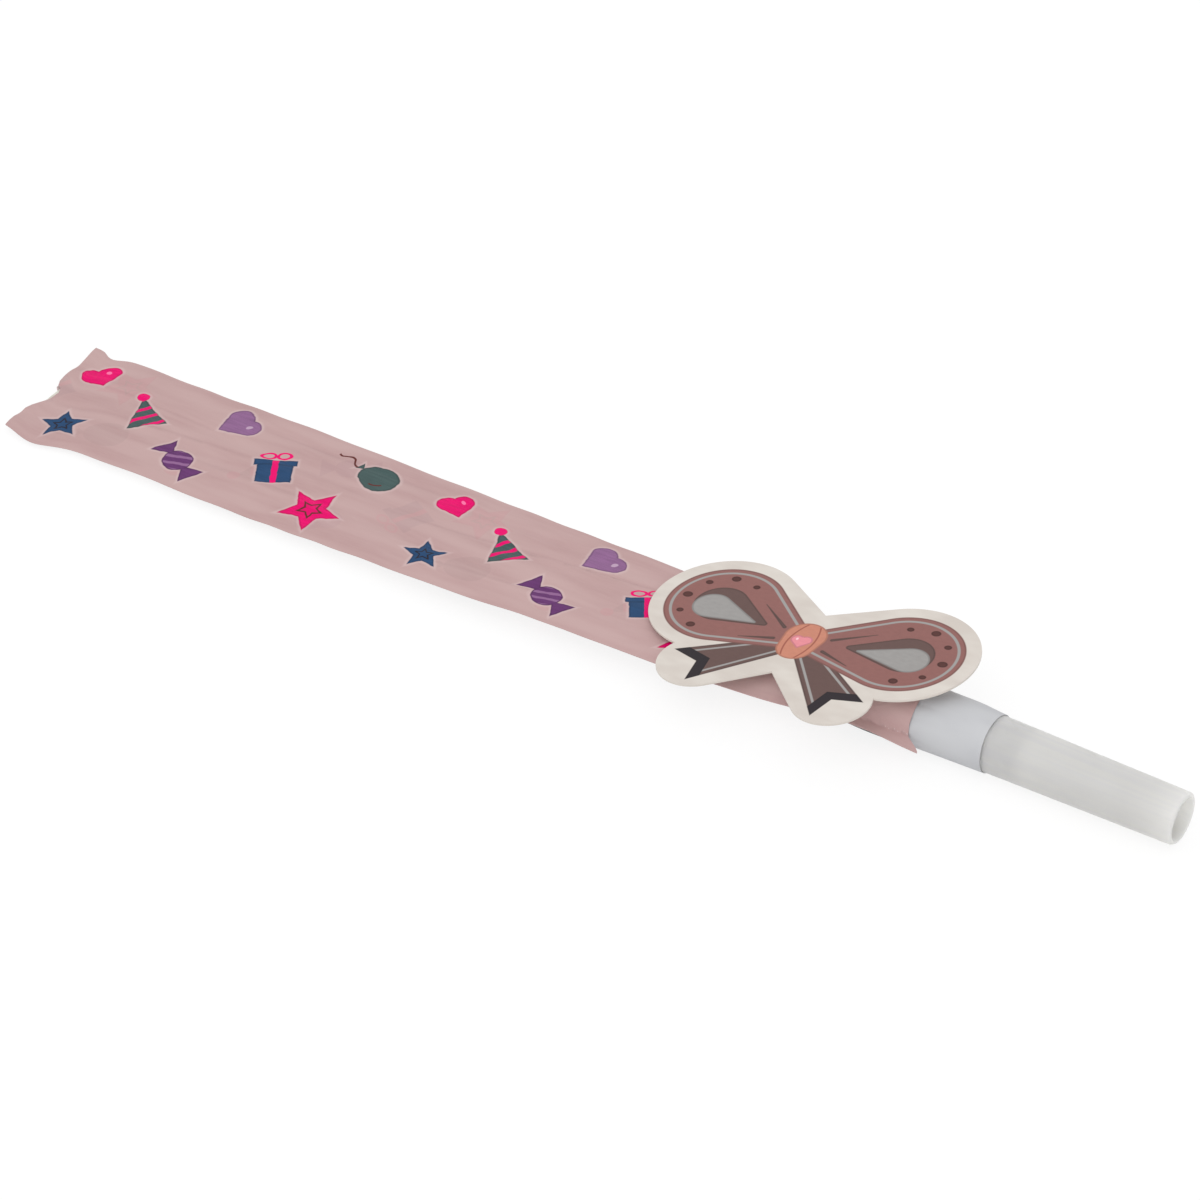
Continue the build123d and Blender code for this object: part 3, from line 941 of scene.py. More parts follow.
@dataclass(frozen=True)
class RolledMetal(Finish):
    """Rolled strip metal with fine lines along the strip."""

    gloss_spread = (-0.1, 0.12)
    tone: Colour = paint(205, 178, 120)
    shade: Colour = paint(170, 140, 85)
    lines: tuple[float, float, float] = (0.15, 14.0, 14.0)  # how they are drawn out
    line_depth: float = 0.004

    def surface(self, graph: Graph, shader: bpy.types.Node) -> None:
        """See Finish.surface."""
        point = self.object_point(graph)
        lines = graph.streaks(point, self.lines, 3.0)
        stain = graph.noise(point, 0.5, 2.0)
        colour = graph.mix(stain.ramp(0.35, 0.7), self.shade, self.tone)
        self.coat(graph, shader, colour, self.rough(lines))
        shader.inputs["Metallic"].default_value = 1.0
        self.relief(graph, shader, lines, self.line_depth, 0.4)


MILKY = MilkyPlastic("MilkyPlastic", "milky_plastic", 0.36)
WHITE_PAPER = PlainPaper("WhitePaper", "white_paper", 0.62)
PINK_PAPER = PrintedPaper("PrintedPinkPaper", "pink_paper", 0.62)
REED_PLASTIC = Moulding("ReedPlastic", "reed_plastic", 0.4)
REED_METAL = RolledMetal("ReedBrass", "reed_metal", 0.35)
SPRING_STEEL = RolledMetal("SpringSteel", "spring_steel", 0.38, paint(178, 178, 180), paint(150, 150, 154))
SET_GLUE = Moulding("SetGlue", "glue", 0.3, paint(224, 221, 210), paint(208, 204, 190))


@dataclass(frozen=True)
class BlowerFrame:
    """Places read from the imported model, in millimetres."""

    x_mouth: float
    x_seam: float
    x_root: float
    x_neck: float
    x_base: float
    axis_z: float
    folds: tuple[tuple[float, float], ...]  # x and z of each bending line
    tip_x: float
    lean_span: ClassVar[Stretch] = (-4.0, 8.0)  # where the paper leans over, from the sleeve's hidden end

    @classmethod
    def read(cls) -> "BlowerFrame":
        """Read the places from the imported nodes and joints."""

        def edge(node: str, axis: int, high: bool) -> float:
            """One side of a node's box, in millimetres."""
            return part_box(node)[int(high)][axis] / MM

        bends = [joint for joint in frame["joints"] if joint["name"].startswith("tube_bend")]
        folds = tuple((joint["pos_m"][0] / MM, joint["pos_m"][2] / MM) for joint in bends)
        axis_z = (edge("mouthpiece", 2, True) + edge("mouthpiece", 2, False)) / 2
        fronts = (edge(node, 0, True) for node in ("mouthpiece", "paper_sleeve", "paper_tube_root"))
        backs = (edge(node, 0, False) for node in ("paper_sleeve", "mouthpiece"))
        return cls(*fronts, *backs, axis_z, folds, edge(f"paper_tube_{len(bends):02d}", 0, False))

    @property
    def slope(self) -> float:
        """Angle at which the flat tube falls away from the mouthpiece's axis."""
        (first_x, first_z), (last_x, last_z) = self.folds[0], self.folds[-1]
        return math.atan2(first_z - last_z, first_x - last_x)

    @property
    def hidden(self) -> float:
        """Length of the sleeve inside the tube."""
        return self.x_root - self.x_neck

    @property
    def fold_runs(self) -> list[float]:
        """Distance of each bending line from the tube's end on the sleeve."""
        cosine, sine = math.cos(self.slope), math.sin(self.slope)
        return [self.hidden + (self.x_neck - x) * cosine + (self.axis_z - z) * sine for x, z in self.folds]

    @property
    def length(self) -> float:
        """Length of the tube from its end on the sleeve to the tip."""
        return self.hidden + (self.x_neck - self.tip_x) / math.cos(self.slope)

    def place(self, run: np.ndarray, across: np.ndarray, rise: np.ndarray) -> np.ndarray:
        """Points of the tube in the row frame.

        Args:
            run: Distance from the tube's end on the sleeve.
            across: Distance across the tube.
            rise: Height above the tube's middle line.

        Returns:
            Points in millimetres, with x, y, z last.
        """
        down = np.maximum(run - self.hidden, 0.0)
        level = np.minimum(run, self.hidden)
        lean = self.slope * smooth(run, *(self.hidden + shift for shift in self.lean_span))
        x = self.x_root - level - down * math.cos(self.slope) - rise * np.sin(lean)
        z = self.axis_z - down * math.sin(self.slope) + rise * np.cos(lean)
        return np.stack([x, across, z], axis=-1)


def ring_cells(rows: int, columns: int, closed: bool = False) -> np.ndarray:
    """Corners of the cells of a grid whose columns go once round.

    Args:
        rows: Rows of the grid.
        columns: Columns of the grid.
        closed: Whether the last row joins on to the first.

    Returns:
        Places of four corners for each cell, row by row.
    """
    row, column = np.meshgrid(np.arange(rows if closed else rows - 1), np.arange(columns), indexing="ij")
    here, there = row * columns, (row + 1) % rows * columns
    following = (column + 1) % columns
    corners = [here + column, there + column, there + following, here + following]
    return np.stack(corners, axis=-1).reshape(-1, 4)


def make_mesh(name: str, points: np.ndarray, faces: list, rounded: bool = True) -> bpy.types.Mesh:
    """Make a mesh.

    Args:
        name: The mesh's name.
        points: Its corners, in millimetres.
        faces: Places of the corners of each face.
        rounded: Whether the faces are shaded as one curve.

    Returns:
        The new mesh.
    """
    mesh = bpy.data.meshes.new(name)
    mesh.from_pydata((np.asarray(points) * MM).tolist(), [], faces)
    mesh.polygons.foreach_set("use_smooth", [rounded] * len(faces))
    return mesh


def add_object(name: str, data: bpy.types.ID) -> bpy.types.Object:
    """Put a mesh, lamp or camera into the scene."""
    made = bpy.data.objects.new(name, data)
    bpy.context.scene.collection.objects.link(made)
    return made


SurfaceRule = Callable[[np.ndarray, np.ndarray], np.ndarray]


@dataclass
class Skin:
    """A wall of even thickness on a tubular surface of run and angle."""

    rule: SurfaceRule  # points in millimetres from run and angle
    wall: float
    probe: float = 0.02  # step for the surface's slopes

    def directions(self, run: np.ndarray, angle: np.ndarray) -> tuple[np.ndarray, np.ndarray]:
        """Outward and onward directions of the surface.

        Args:
            run: Runs of the grid.
            angle: Angles of the grid.

        Returns:
            Unit vectors out of the surface and along its run, with x, y, z last.
        """
        turn = self.probe / 10
        round_step = self.rule(run, angle + turn) - self.rule(run, angle - turn)
        run_step = self.rule(run + self.probe, angle) - self.rule(run - self.probe, angle)

        def unit(steps: np.ndarray) -> np.ndarray:
            """Steps at length 1."""
            return steps / np.maximum(np.linalg.norm(steps, axis=-1, keepdims=True), 1e-12)

        return unit(np.cross(run_step, round_step)), unit(run_step)

    def piece(
        self, name: str, run: np.ndarray, angle: np.ndarray, sheet: np.ndarray | None = None
    ) -> bpy.types.Object:
        """Make one closed piece of the wall.

        Args:
            name: The piece's name.
            run: Runs of the grid, rows by columns; columns go once round.
            angle: Angles of the grid.
            sheet: Flat place of the paper at each corner of a grid cell, rows - 1 by columns by 4 by 2.

        Returns:
            The new object.
        """
        rows, columns = run.shape
        count = rows * columns
        outward, onward = self.directions(run, angle)
        outer = self.rule(run, angle)
        inner = outer - outward * self.wall
        points = np.concatenate([outer.reshape(-1, 3), inner.reshape(-1, 3)])
        outward, onward = outward.reshape(-1, 3), onward.reshape(-1, 3)
        cells = ring_cells(rows, columns)
        faces = [cells, cells[:, ::-1] + count]
        facing = [outward[cells], -outward[cells[:, ::-1]]]
        for edge_row, order, sign in ((0, (0, 1, 3, 2), -1), (rows - 1, (1, 0, 2, 3), 1)):
            here = edge_row * columns + np.arange(columns)
            there = np.roll(here, -1)
            corners = np.stack([here, there, here + count, there + count], axis=-1)[:, order]
            faces.append(corners)
            facing.append(sign * onward[corners % count])
        mesh = make_mesh(name, points, np.concatenate(faces).tolist())
        if sheet is not None:
            unprinted = sheet[..., ::-1, :] + (0.0, INSIDE)
            flat = np.concatenate([sheet.reshape(-1, 4, 2), unprinted.reshape(-1, 4, 2),
                                   sheet[0][:, (0, 3, 3, 0)], sheet[-1][:, (2, 1, 1, 2)]])
            mesh.uv_layers.new(name=PRINT_MAP).data.foreach_set("uv", flat.reshape(-1))
        mesh.update()
        pairs = np.empty(len(mesh.edges) * 2, dtype=np.int32)
        mesh.edges.foreach_get("vertices", pairs)
        first_row, second_row = (pairs.reshape(-1, 2) % count // columns).T
        rim = (first_row == second_row) & np.isin(first_row, (0, rows - 1))
        mesh.attributes.new("sharp_edge", "BOOLEAN", "EDGE").data.foreach_set("value", rim)
        mesh.normals_split_custom_set(np.concatenate(facing).reshape(-1, 3).tolist())
        return add_object(name, mesh)


def settle(piece: bpy.types.Object, finish: Finish, *nodes: str) -> None:
    """Dress a piece, hide the nodes that it stands for, and report it.

    Args:
        piece: The new piece.
        finish: Its finish.
        *nodes: CAD nodes that it replaces.
    """
    finish.dress(piece)
    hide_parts(*nodes)
    log.info("%s: %d faces, in place of %s", piece.name, len(piece.data.polygons), ", ".join(nodes))


@dataclass(frozen=True)
class SideWave:
    """Waves of a side fold along limp paper: a slow one, and a fine one of uneven length."""

    slow: tuple[float, float, float]  # height, length of a radian and phase
    fine: tuple[float, float, float, float]  # height, length of a radian, unevenness and its length

    def at(self, run: np.ndarray) -> np.ndarray:
        """Shift across at a run."""
        height, length, phase = self.slow
        fine_height, fine_length, sway, sway_length = self.fine
        uneven = run / fine_length + sway * np.sin(run / sway_length)
        return height * np.sin(run / length + phase) + fine_height * np.sin(uneven)


@dataclass(frozen=True)
class PressedLine:
    """One long line pressed into a layer of the paper, sharp in its middle."""

    height: float
    reach: float  # how far it falls off to each side
    spot: tuple[float, float]  # run and place across of one place on it
    slope: float  # how far it moves across for each millimetre towards the mouth
    rise: Stretch  # runs over which it comes up
    fall: Stretch | None = None  # runs over which it goes down again
    sway: tuple[float, float] = (0.0, 1.0)  # height of its waves, and their length of a radian

    def at(self, run: np.ndarray, across: np.ndarray) -> np.ndarray:
        """Height of the line at a place on the paper."""
        line = self.spot[1] + (self.spot[0] - run) * self.slope + self.sway[0] * np.sin(run / self.sway[1])
        share = between(run, self.rise, self.fall) if self.fall else smooth(run, *self.rise)
        return self.height * np.exp(-np.abs(across - line) / self.reach) * share


@dataclass
class PaperTube:
    """The flattened paper tube: a stiff root on the sleeve, then one piece for each bending line."""

    places: BlowerFrame
    width: float = 39.0  # flat paper, and the spread tip
    fold_width: float = 35.2  # at the first bending line
    loose_widths: tuple[float, float] = (36.6, 37.5)  # past the first bending line, and before the tip
    taper: float = 40.0  # stretch from the first bending line to the first loose width
    tip_spread: Stretch = (43.0, 12.0)  # where the tip spreads, from its end
    width_blur: tuple[float, ...] = (-6.0, -2.0, 2.0, 6.0)  # shifts that round the corners of the width
    height_blur: tuple[float, ...] = (-2.0, 0.0, 2.0)  # the same of the height
    sleeve_pull: tuple[float, float, float] = (2.4, 14.0, 12.0)  # near side drawn in: how far, run and reach
    card_pull: float = 1.2  # the same by the card
    card_pull_rise: Stretch = (50.0, 82.0)
    card_pull_fall: Stretch = (92.0, 125.0)
    neck_width: float = 26.5  # at the hidden end of the sleeve
    root_width: float = 23.0  # at the end on the sleeve
    root_height: float = 7.66  # half height round the sleeve
    hug_widths: tuple[float, float] = (8.3, 8.95)  # half width on the sleeve, at the end and its hidden end
    hug_pinch: float = 0.12  # share of the height over which the paper turns into a wing
    let_go: Stretch = (9.0, 34.0)  # runs over which the paper leaves the sleeve's shape
    lens_powers: tuple[float, float] = (2.3, 1.6)  # how pointed the section is, on the sleeve and flat
    wing_droop: float = 1.1  # how far the pinched side folds hang down beside the sleeve
    wing_fall: Stretch = (6.0, 30.0)  # runs over which the wings end
    wing_lap: float = 0.3  # how far in from the hugged width a wing starts to droop
    flaps: tuple[float, float] = (2.0, 4.2)  # how far the far and near wing reach on towards the mouth
    flap_lap: float = 0.1  # how far in a wing starts to reach on
    root_flat: float = 14.0  # flat stretch before the first bending line
    paper: float = 0.12
    fold_round: float = 0.24  # half height of a side fold
    fold_blunt: float = 0.35  # how soon a side fold has its full height: 0 at once, 1 as an oval
    table_gap: float = 0.01  # the paper lies flat on the table there
    loft: float = 0.46  # how far each layer bows away from the other
    columns: int = 144
    row_step: float = 0.9
    tip_press: Stretch = (2.9, 0.4)  # where the tip is pressed flat, from its end
    tip_loft: float = 0.08  # how far each layer still bows away there
    tip_curl: tuple[float, float, float] = (0.9, 13.0, 0.6)  # upturned corners: height, stretch, inner share
    lap: float = 6.0  # width of the glued lap on the underside
    lap_across: float = 1.5
    lap_edge: float = 0.3  # width of the lap's step
    lap_rise: Stretch = (20.0, 60.0)
    far_bite: tuple[float, float, float] = (2.4, 6.0, 3.4)  # depth, distance from the tip and reach
    far_corner: tuple[float, float] = (0.9, 4.0)  # depth and stretch of the worn corner
    near_flare: tuple[float, float, float] = (2.3, 10.5, 6.0)  # as far_bite, but outwards
    limp_sides: Stretch = (60.0, 120.0)  # runs over which the side folds turn limp
    limp_layers: Stretch = (55.0, 105.0)  # the same of the layers
    far_wave: SideWave = SideWave((0.16, 14.0, 0.4), (0.11, 3.1, 1.5, 17.0))
    near_wave: SideWave = SideWave((0.2, 12.0, 2.1), (0.11, 2.7, 1.8, 13.0))
    broad_ripple: tuple[float, ...] = (0.15, 8.3, 0.3, 47.0, 61.0)  # height, width, sway, its length, drift
    narrow_ripple: tuple[float, float, float] = (0.07, 4.6, 175.0)  # height, width and drift
    cross_ripple: tuple[float, ...] = (0.12, 9.5, 5.0, 37.0)  # height, length, slant and beat
    lower_ripples: tuple[float, float] = (2.4, 0.6)  # phase and share on the lower layer
    crease: PressedLine = PressedLine(-0.28, 0.8, (118.0, 2.4), 0.117, (58.0, 74.0), (112.0, 124.0))
    ridge: PressedLine = PressedLine(0.24, 1.0, (246.0, -3.2), 0.075, (165.0, 205.0), sway=(0.6, 19.0))
    warp: tuple[float, float, float] = (0.35, 27.0, 1.3)  # twist: height, length of a radian and phase
    warp_rise: Stretch = (70.0, 130.0)
    warp_fall: Stretch = (60.0, 20.0)  # from the tip
    upper_cut: tuple[tuple[float, float], ...] = (
        (-19.5, 1.4), (-15.0, 0.5), (-10.5, 0.5), (-8.2, 1.3), (-5.0, 3.3), (-0.9, 4.3),
        (0.6, 3.6), (1.6, 1.7), (3.5, 0.6), (6.0, 0.2), (12.0, 0.35), (19.5, 0.0))
    lower_cut: tuple[tuple[float, float], ...] = (
        (-19.5, 1.4), (-12.0, 0.7), (-8.5, 0.5), (-5.0, 1.8), (-0.9, 2.8), (0.6, 2.2), (1.8, 0.8),
        (8.0, 0.7), (14.0, 0.9), (19.5, 0.0))

    def from_tip(self, stretch: Stretch) -> Stretch:
        """Runs of a stretch that is given from the tip."""
        return self.places.length - stretch[0], self.places.length - stretch[1]

    def half_width(self, run: np.ndarray) -> np.ndarray:
        """Half of the tube's width at a run."""
        first = self.places.fold_runs[0]
        flat = first - self.root_flat
        runs = [0.0, self.places.hidden, flat, first, first + self.taper, *self.from_tip(self.tip_spread)]
        folded = [self.fold_width, self.fold_width]
        widths = [self.root_width, self.neck_width, *folded, *self.loose_widths, self.width]
        return eased(run, runs, widths, self.width_blur) / 2

    def half_height(self, run: np.ndarray) -> np.ndarray:
        """Half of the height between the layers' outer faces, without ripples."""
        flat = self.fold_round + self.loft
        runs = [0.0, self.places.hidden, self.places.fold_runs[0] - self.root_flat, self.places.length]
        heights = [self.root_height, self.root_height, flat, flat]
        pressed = smooth(run, *self.from_tip(self.tip_press))
        return eased(run, runs, heights, self.height_blur) - pressed * (self.loft - self.tip_loft)

    def side_edges(self, run: np.ndarray) -> tuple[np.ndarray, np.ndarray]:
        """Places across of the far and the near side fold, with the waves of limp paper.

        Args:
            run: Distance from the tube's end on the sleeve.

        Returns:
            Far and near place.
        """
        half = self.half_width(run)
        tip = self.places.length
        limp = smooth(run, *self.limp_sides)

        def swell(height: float, middle: float, reach: float) -> np.ndarray:
            """Bell curve of a height along the run."""
            return height * bump(run, middle, reach)

        depth, back, reach = self.far_bite
        corner, stretch = self.far_corner
        bitten = swell(depth, tip - back, reach) + corner * smooth(run, tip - stretch, tip)
        depth, back, reach = self.near_flare
        flared = swell(depth, tip - back, reach)
        by_card = self.card_pull * between(run, self.card_pull_rise, self.card_pull_fall)
        pulled = swell(*self.sleeve_pull) + by_card
        far = half + limp * self.far_wave.at(run) - bitten
        return far, -half + limp * self.near_wave.at(run) - flared + pulled

    def ripples(self, run: np.ndarray, across: np.ndarray, phase: float) -> np.ndarray:
        """Lengthwise ripples and creases of one layer.

        Args:
            run: Distance from the tube's end on the sleeve.
            across: Distance across the tube.
            phase: Shift that tells the layers apart.

        Returns:
            Height in millimetres.
        """
        height, width, sway, sway_length, drift = self.broad_ripple
        turns = across / width + sway * np.sin(run / sway_length + phase)
        broad = height * np.sin(2 * np.pi * turns + run / drift + phase)
        height, width, drift = self.narrow_ripple
        narrow = height * np.sin(2 * np.pi * (across / width - run / drift) + 2 * phase)
        height, length, slant, beat = self.cross_ripple
        cross = height * np.sin(run / length + across / slant + phase) * np.sin(run / beat + 1.0)
        loose = broad + narrow + cross + self.ridge.at(run, across)
        return smooth(run, *self.limp_layers) * loose + self.crease.at(run, across)

    def wrap_height(self, run: np.ndarray, across: np.ndarray) -> np.ndarray:
        """Share of the height where the paper hugs the sleeve, with its side folds pinched to thin wings."""
        hug = np.interp(run, (0.0, self.places.hidden), self.hug_widths)
        inside = np.clip(1 - (across / hug) ** 2, 0.0, 1.0)
        return np.sqrt(inside) * smooth(inside, 0.0, self.hug_pinch)

    def bowed(self, run: np.ndarray, across: np.ndarray, lift: np.ndarray) -> np.ndarray:
        """Height of a smooth layer over its side folds.

        Args:
            run: Distance from the tube's end on the sleeve.
            across: Distance across the tube.
            lift: Sine of the angle round the section.

        Returns:
            Height in millimetres, for both layers alike.
        """
        flatness = smooth(run, self.places.hidden, self.places.fold_runs[0] - self.root_flat)
        height = self.half_height(run) - self.fold_round
        round_power, flat_power = self.lens_powers
        lens = np.abs(lift) ** (round_power + (flat_power - round_power) * flatness) * height
        wrap = self.wrap_height(run, across) * height
        return wrap + (lens - wrap) * smooth(run, *self.let_go)

    def surface(self, run: np.ndarray, angle: np.ndarray) -> np.ndarray:
        """Outer face of the paper.

        Args:
            run: Distance from the tube's end on the sleeve.
            angle: Angle round the section, 0 at the far fold and a quarter turn at the top.

        Returns:
            Points in millimetres, with x, y, z last.
        """
        far, near = self.side_edges(run)
        share, lift = np.cos(angle), np.sin(angle)
        across = (far + near) / 2 + (far - near) / 2 * share
        bow = self.bowed(run, across, lift)
        phase, lower_share = self.lower_ripples
        upper = self.ripples(run, across, 0.0) * lift**2
        lower = self.ripples(run, across, phase) * lift**2 * lower_share
        lap = smooth(self.lap / 2 - np.abs(across - self.lap_across), 0.0, self.lap_edge)
        lap = self.paper * lap * smooth(run, *self.lap_rise)
        side = np.where(lift >= 0, bow + upper, -bow + lower - lap)
        height, length, phase = self.warp
        warp = height * np.sin(run / length + phase) * share
        warp = warp * between(run, self.warp_rise, self.from_tip(self.warp_fall))
        height, stretch, inner = self.tip_curl
        corner = height * smooth(run, *self.from_tip((stretch, 0.0))) * smooth(np.abs(share), inner, 1.0)
        wing = smooth(np.abs(across), self.hug_widths[0] - self.wing_lap, self.root_width / 2)
        droop = self.wing_droop * wing * (1 - smooth(run, *self.wing_fall))
        fold = self.fold_round * np.sign(lift) * np.abs(lift) ** self.fold_blunt
        points = self.places.place(run, across, side + fold + warp + corner - droop)
        points[..., 2] = np.maximum(points[..., 2], self.table_gap)
        return points

    def flap(self, angle: np.ndarray) -> np.ndarray:
        """How far the end on the sleeve reaches on at an angle round the section: its wings slant."""
        across = np.cos(angle) * self.root_width / 2
        reach = np.where(across > 0, *self.flaps)
        return reach * smooth(np.abs(across), self.hug_widths[0] - self.flap_lap, self.root_width / 2)

    def cut(self, angle: np.ndarray) -> np.ndarray:
        """How far in the torn tip ends at an angle round the section."""
        across = np.cos(angle) * self.width / 2
        upper = np.interp(across, *zip(*self.upper_cut))
        lower = np.interp(across, *zip(*self.lower_cut))
        return np.where(np.sin(angle) >= 0, upper, lower)

    def flat_place(self, run: np.ndarray, angle: np.ndarray) -> np.ndarray:
        """Place on the flat paper of each cell's corners.

        Args:
            run: Runs of the grid.
            angle: Angles of the grid.

        Returns:
            Run and place across, rows - 1 by columns by 4 by 2.
        """
        step = 2 * np.pi / self.columns
        following = np.roll(run, -1, axis=1)
        runs = np.stack([run[:-1], run[1:], following[1:], following[:-1]], axis=-1)
        start = angle[:-1]
        angles = np.stack([start, start, start + step, start + step], axis=-1)
        share = np.cos(angles) * self.width / 2
        middle = start + step / 2
        beneath = (np.sin(middle) < 0)[..., None]
        turned = np.sign(np.cos(middle))[..., None] * self.width - share
        return np.stack([runs, np.where(beneath, turned, share)], axis=-1)

    def grid(
        self, start: float, end: float, torn: bool = False, flared: bool = False
    ) -> tuple[np.ndarray, np.ndarray]:
        """Runs and angles of one piece.

        Args:
            start: Run of its first row.
            end: Run of its last row.
            torn: Whether the last row follows the torn tip.
            flared: Whether the first row follows the slanting wings.

        Returns:
            Runs and angles, rows by columns.
        """
        rows = max(4, math.ceil((end - start) / self.row_step) + 1)
        angles = np.arange(self.columns) * 2 * np.pi / self.columns
        share, angle = np.meshgrid(np.linspace(0.0, 1.0, rows), angles, indexing="ij")
        finish = end - self.cut(angle) if torn else end
        begin = start - self.flap(angle) if flared else start
        return begin + share * (finish - begin), angle

    def seams(self) -> list[float]:
        """Runs at which the pieces meet: the middles of the stretches between bending lines."""
        folds = self.places.fold_runs
        middles = [(first + second) / 2 for first, second in zip(folds, folds[1:])]
        return [2 * folds[0] - middles[0], *middles]

    def bend(self, piece: bpy.types.Object, index: int, start: float, end: float) -> None:
        """Move a piece's placement into its mesh.

        Args:
            piece: The piece.
            index: Which bending line it crosses, from 0 at the root. Not used.
            start: Run up to which it follows the section before the line; only turned into a place that is
                not used.
            end: Run from which it follows the section after it; only turned into a place that is not used.
        """
        spots = self.places.place(np.array([start, end]), np.zeros(2), np.zeros(2)) * MM
        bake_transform(piece)

    def build(self) -> None:
        """Make the root and one piece for each bending line."""
        skin = Skin(self.surface, self.paper)
        seams = self.seams()

        def part(name: str, node: str, *stretch: float, **ends: bool) -> bpy.types.Object:
            """Make one piece in place of a node; see grid for its stretch and ends."""
            run, angle = self.grid(*stretch, **ends)
            made = skin.piece(name, run, angle, self.flat_place(run, angle))
            settle(made, PINK_PAPER, node)
            return made

        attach(part("tube_root_paper", "paper_tube_root", 0.0, seams[0], flared=True), "blower_root")
        ends = [*seams[1:], self.places.length]
        for index, (start, end) in enumerate(zip(seams, ends)):
            last = index == len(ends) - 1
            piece = part(f"tube_paper_{index + 1:02d}", f"paper_tube_{index + 1:02d}", start, end, torn=last)
            self.bend(piece, index, start, 2 * self.places.fold_runs[index] - start if last else end)


@dataclass
class CurlSpring:
    """The flat spring strip inside the tube, in one piece for each bending line."""

    tube: PaperTube
    width: float = 3.0
    thickness: float = 0.2
    rise: float = -0.44  # of the strip's underside, from the tube's middle line
    edge_round: float = 0.06
    row_step: float = 0.9

    def strip(self, name: str, line: np.ndarray, lean: np.ndarray) -> bpy.types.Object:
        """Make a strip with rounded edges along a line.

        Args:
            name: The piece's name.
            line: Points under the strip's middle, in millimetres.
            lean: Slope of the line at each point.

        Returns:
            The new object.
        """
        half, top, bevel = self.width / 2, self.thickness, self.edge_round
        section = [(-half + bevel, 0.0), (half - bevel, 0.0), (half, bevel), (half, top - bevel),
                   (half - bevel, top), (-half + bevel, top), (-half, top - bevel), (-half, bevel)]
        points = [(x - rise * math.sin(slope), across, z + rise * math.cos(slope))
                  for (x, _, z), slope in zip(line, lean) for across, rise in section]
        sides, last = len(section), len(points) - 1
        ends = [list(range(sides)), list(range(last, last - sides, -1))]
        faces = ends + np.roll(ring_cells(len(line), sides), 1, axis=1).tolist()
        mesh = make_mesh(name, points, faces, rounded=False)
        mesh.validate()
        return add_object(name, mesh)

    def build(self) -> None:
        """Make the root strip and one strip for each bending line."""
        places, seams = self.tube.places, self.tube.seams()
        first_flat = places.fold_runs[0] - self.tube.root_flat
        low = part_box("curl_spring_root")[0].z / MM
        down = np.array([first_flat, seams[0]])
        flat = places.place(down, np.zeros(2), np.full(2, self.rise))
        line = np.concatenate([[(places.x_neck, 0.0, low)], flat])
        root = self.strip("spring_root", line, np.full(3, places.slope))
        settle(root, SPRING_STEEL, "curl_spring_root")
        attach(root, "blower_root")
        for index, (start, end) in enumerate(zip(seams, seams[1:])):
            runs = np.linspace(start, end, math.ceil((end - start) / self.row_step) + 1)
            line = places.place(runs, np.zeros_like(runs), np.full_like(runs, self.rise))
            piece = self.strip(f"spring_{index + 1:02d}", line, np.full(len(runs), places.slope))
            settle(piece, SPRING_STEEL, f"curl_spring_{index + 1:02d}")
            self.tube.bend(piece, index, start, end)


@dataclass
class PaperSleeve:
    """The paper wrap round the mouthpiece: round at its cut edge, oval inside the tube."""

    places: BlowerFrame
    seam_radius: float = 7.1
    neck_radius: float = 7.39
    oval: float = 1.2
    bulge: float = 0.9  # how far the loose wrap stands out on the far side, short of its cut edge
    wall: float = 0.2
    lap: float = 0.16  # step where the wrap's outer edge lies
    lap_angle: float = 5.5  # where that edge is, from the far side
    lap_widths: tuple[float, float] = (0.03, 0.9)  # angles over which the step rises and falls off
    bulge_run: tuple[float, float] = (7.0, 4.5)  # middle and reach of the bulge
    cut_sway: float = 0.12  # how far the cut edge strays
    cut_stretch: float = 3.0  # run over which that fades away
    softness: float = 0.05  # how far the wrap is out of round
    softness_rise: Stretch = (2.0, 12.0)
    dents: tuple[tuple[float, ...], ...] = (  # depth, angle and reach, and runs over which each deepens
        (0.22, 1.2, 0.16, 8.0, 16.0), (0.2, 2.05, 0.1, 10.0, 18.0), (0.16, 2.6, 0.12, 6.0, 15.0))
    rows: int = 48
    columns: int = 144

    def surface(self, run: np.ndarray, angle: np.ndarray) -> np.ndarray:
        """Outer face of the wrap.

        Args:
            run: Distance from the cut edge towards the tube.
            angle: Angle round the section, 0 at the far side and a quarter turn at the top.

        Returns:
            Points in millimetres, with x, y, z last.
        """
        whole = self.places.x_seam - self.places.x_neck
        share = run / whole
        turn = np.mod(angle - self.lap_angle, 2 * np.pi)
        rising, falling = self.lap_widths
        step = self.lap * between(turn, (0.0, rising), (0.0, falling))
        dents = sum(depth * bump(angle, middle, reach) * smooth(run, start, end)
                    for depth, middle, reach, start, end in self.dents)
        soft = self.softness * np.sin(3 * angle + 0.8) * smooth(run, *self.softness_rise)
        height = self.seam_radius + (self.neck_radius - self.seam_radius) * share + step - dents + soft
        loose = self.bulge * bump(run, *self.bulge_run) * np.maximum(np.cos(angle), 0.0) ** 2
        width = height + self.oval * share + loose
        strayed = self.cut_sway * np.sin(2 * angle + 0.5) * (1 - smooth(run, 0.0, self.cut_stretch))
        x = self.places.x_seam - run + strayed
        return np.stack([x, width * np.cos(angle), self.places.axis_z + height * np.sin(angle)], axis=-1)

    def build(self) -> None:
        """Make the wrap."""
        whole = self.places.x_seam - self.places.x_neck
        angles = np.arange(self.columns) * 2 * np.pi / self.columns
        run, angle = np.meshgrid(np.linspace(self.cut_sway, whole, self.rows), angles, indexing="ij")
        piece = Skin(self.surface, self.wall).piece("sleeve_wrap", run, angle)
        settle(piece, WHITE_PAPER, "paper_sleeve")
        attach(piece, "blower_root")


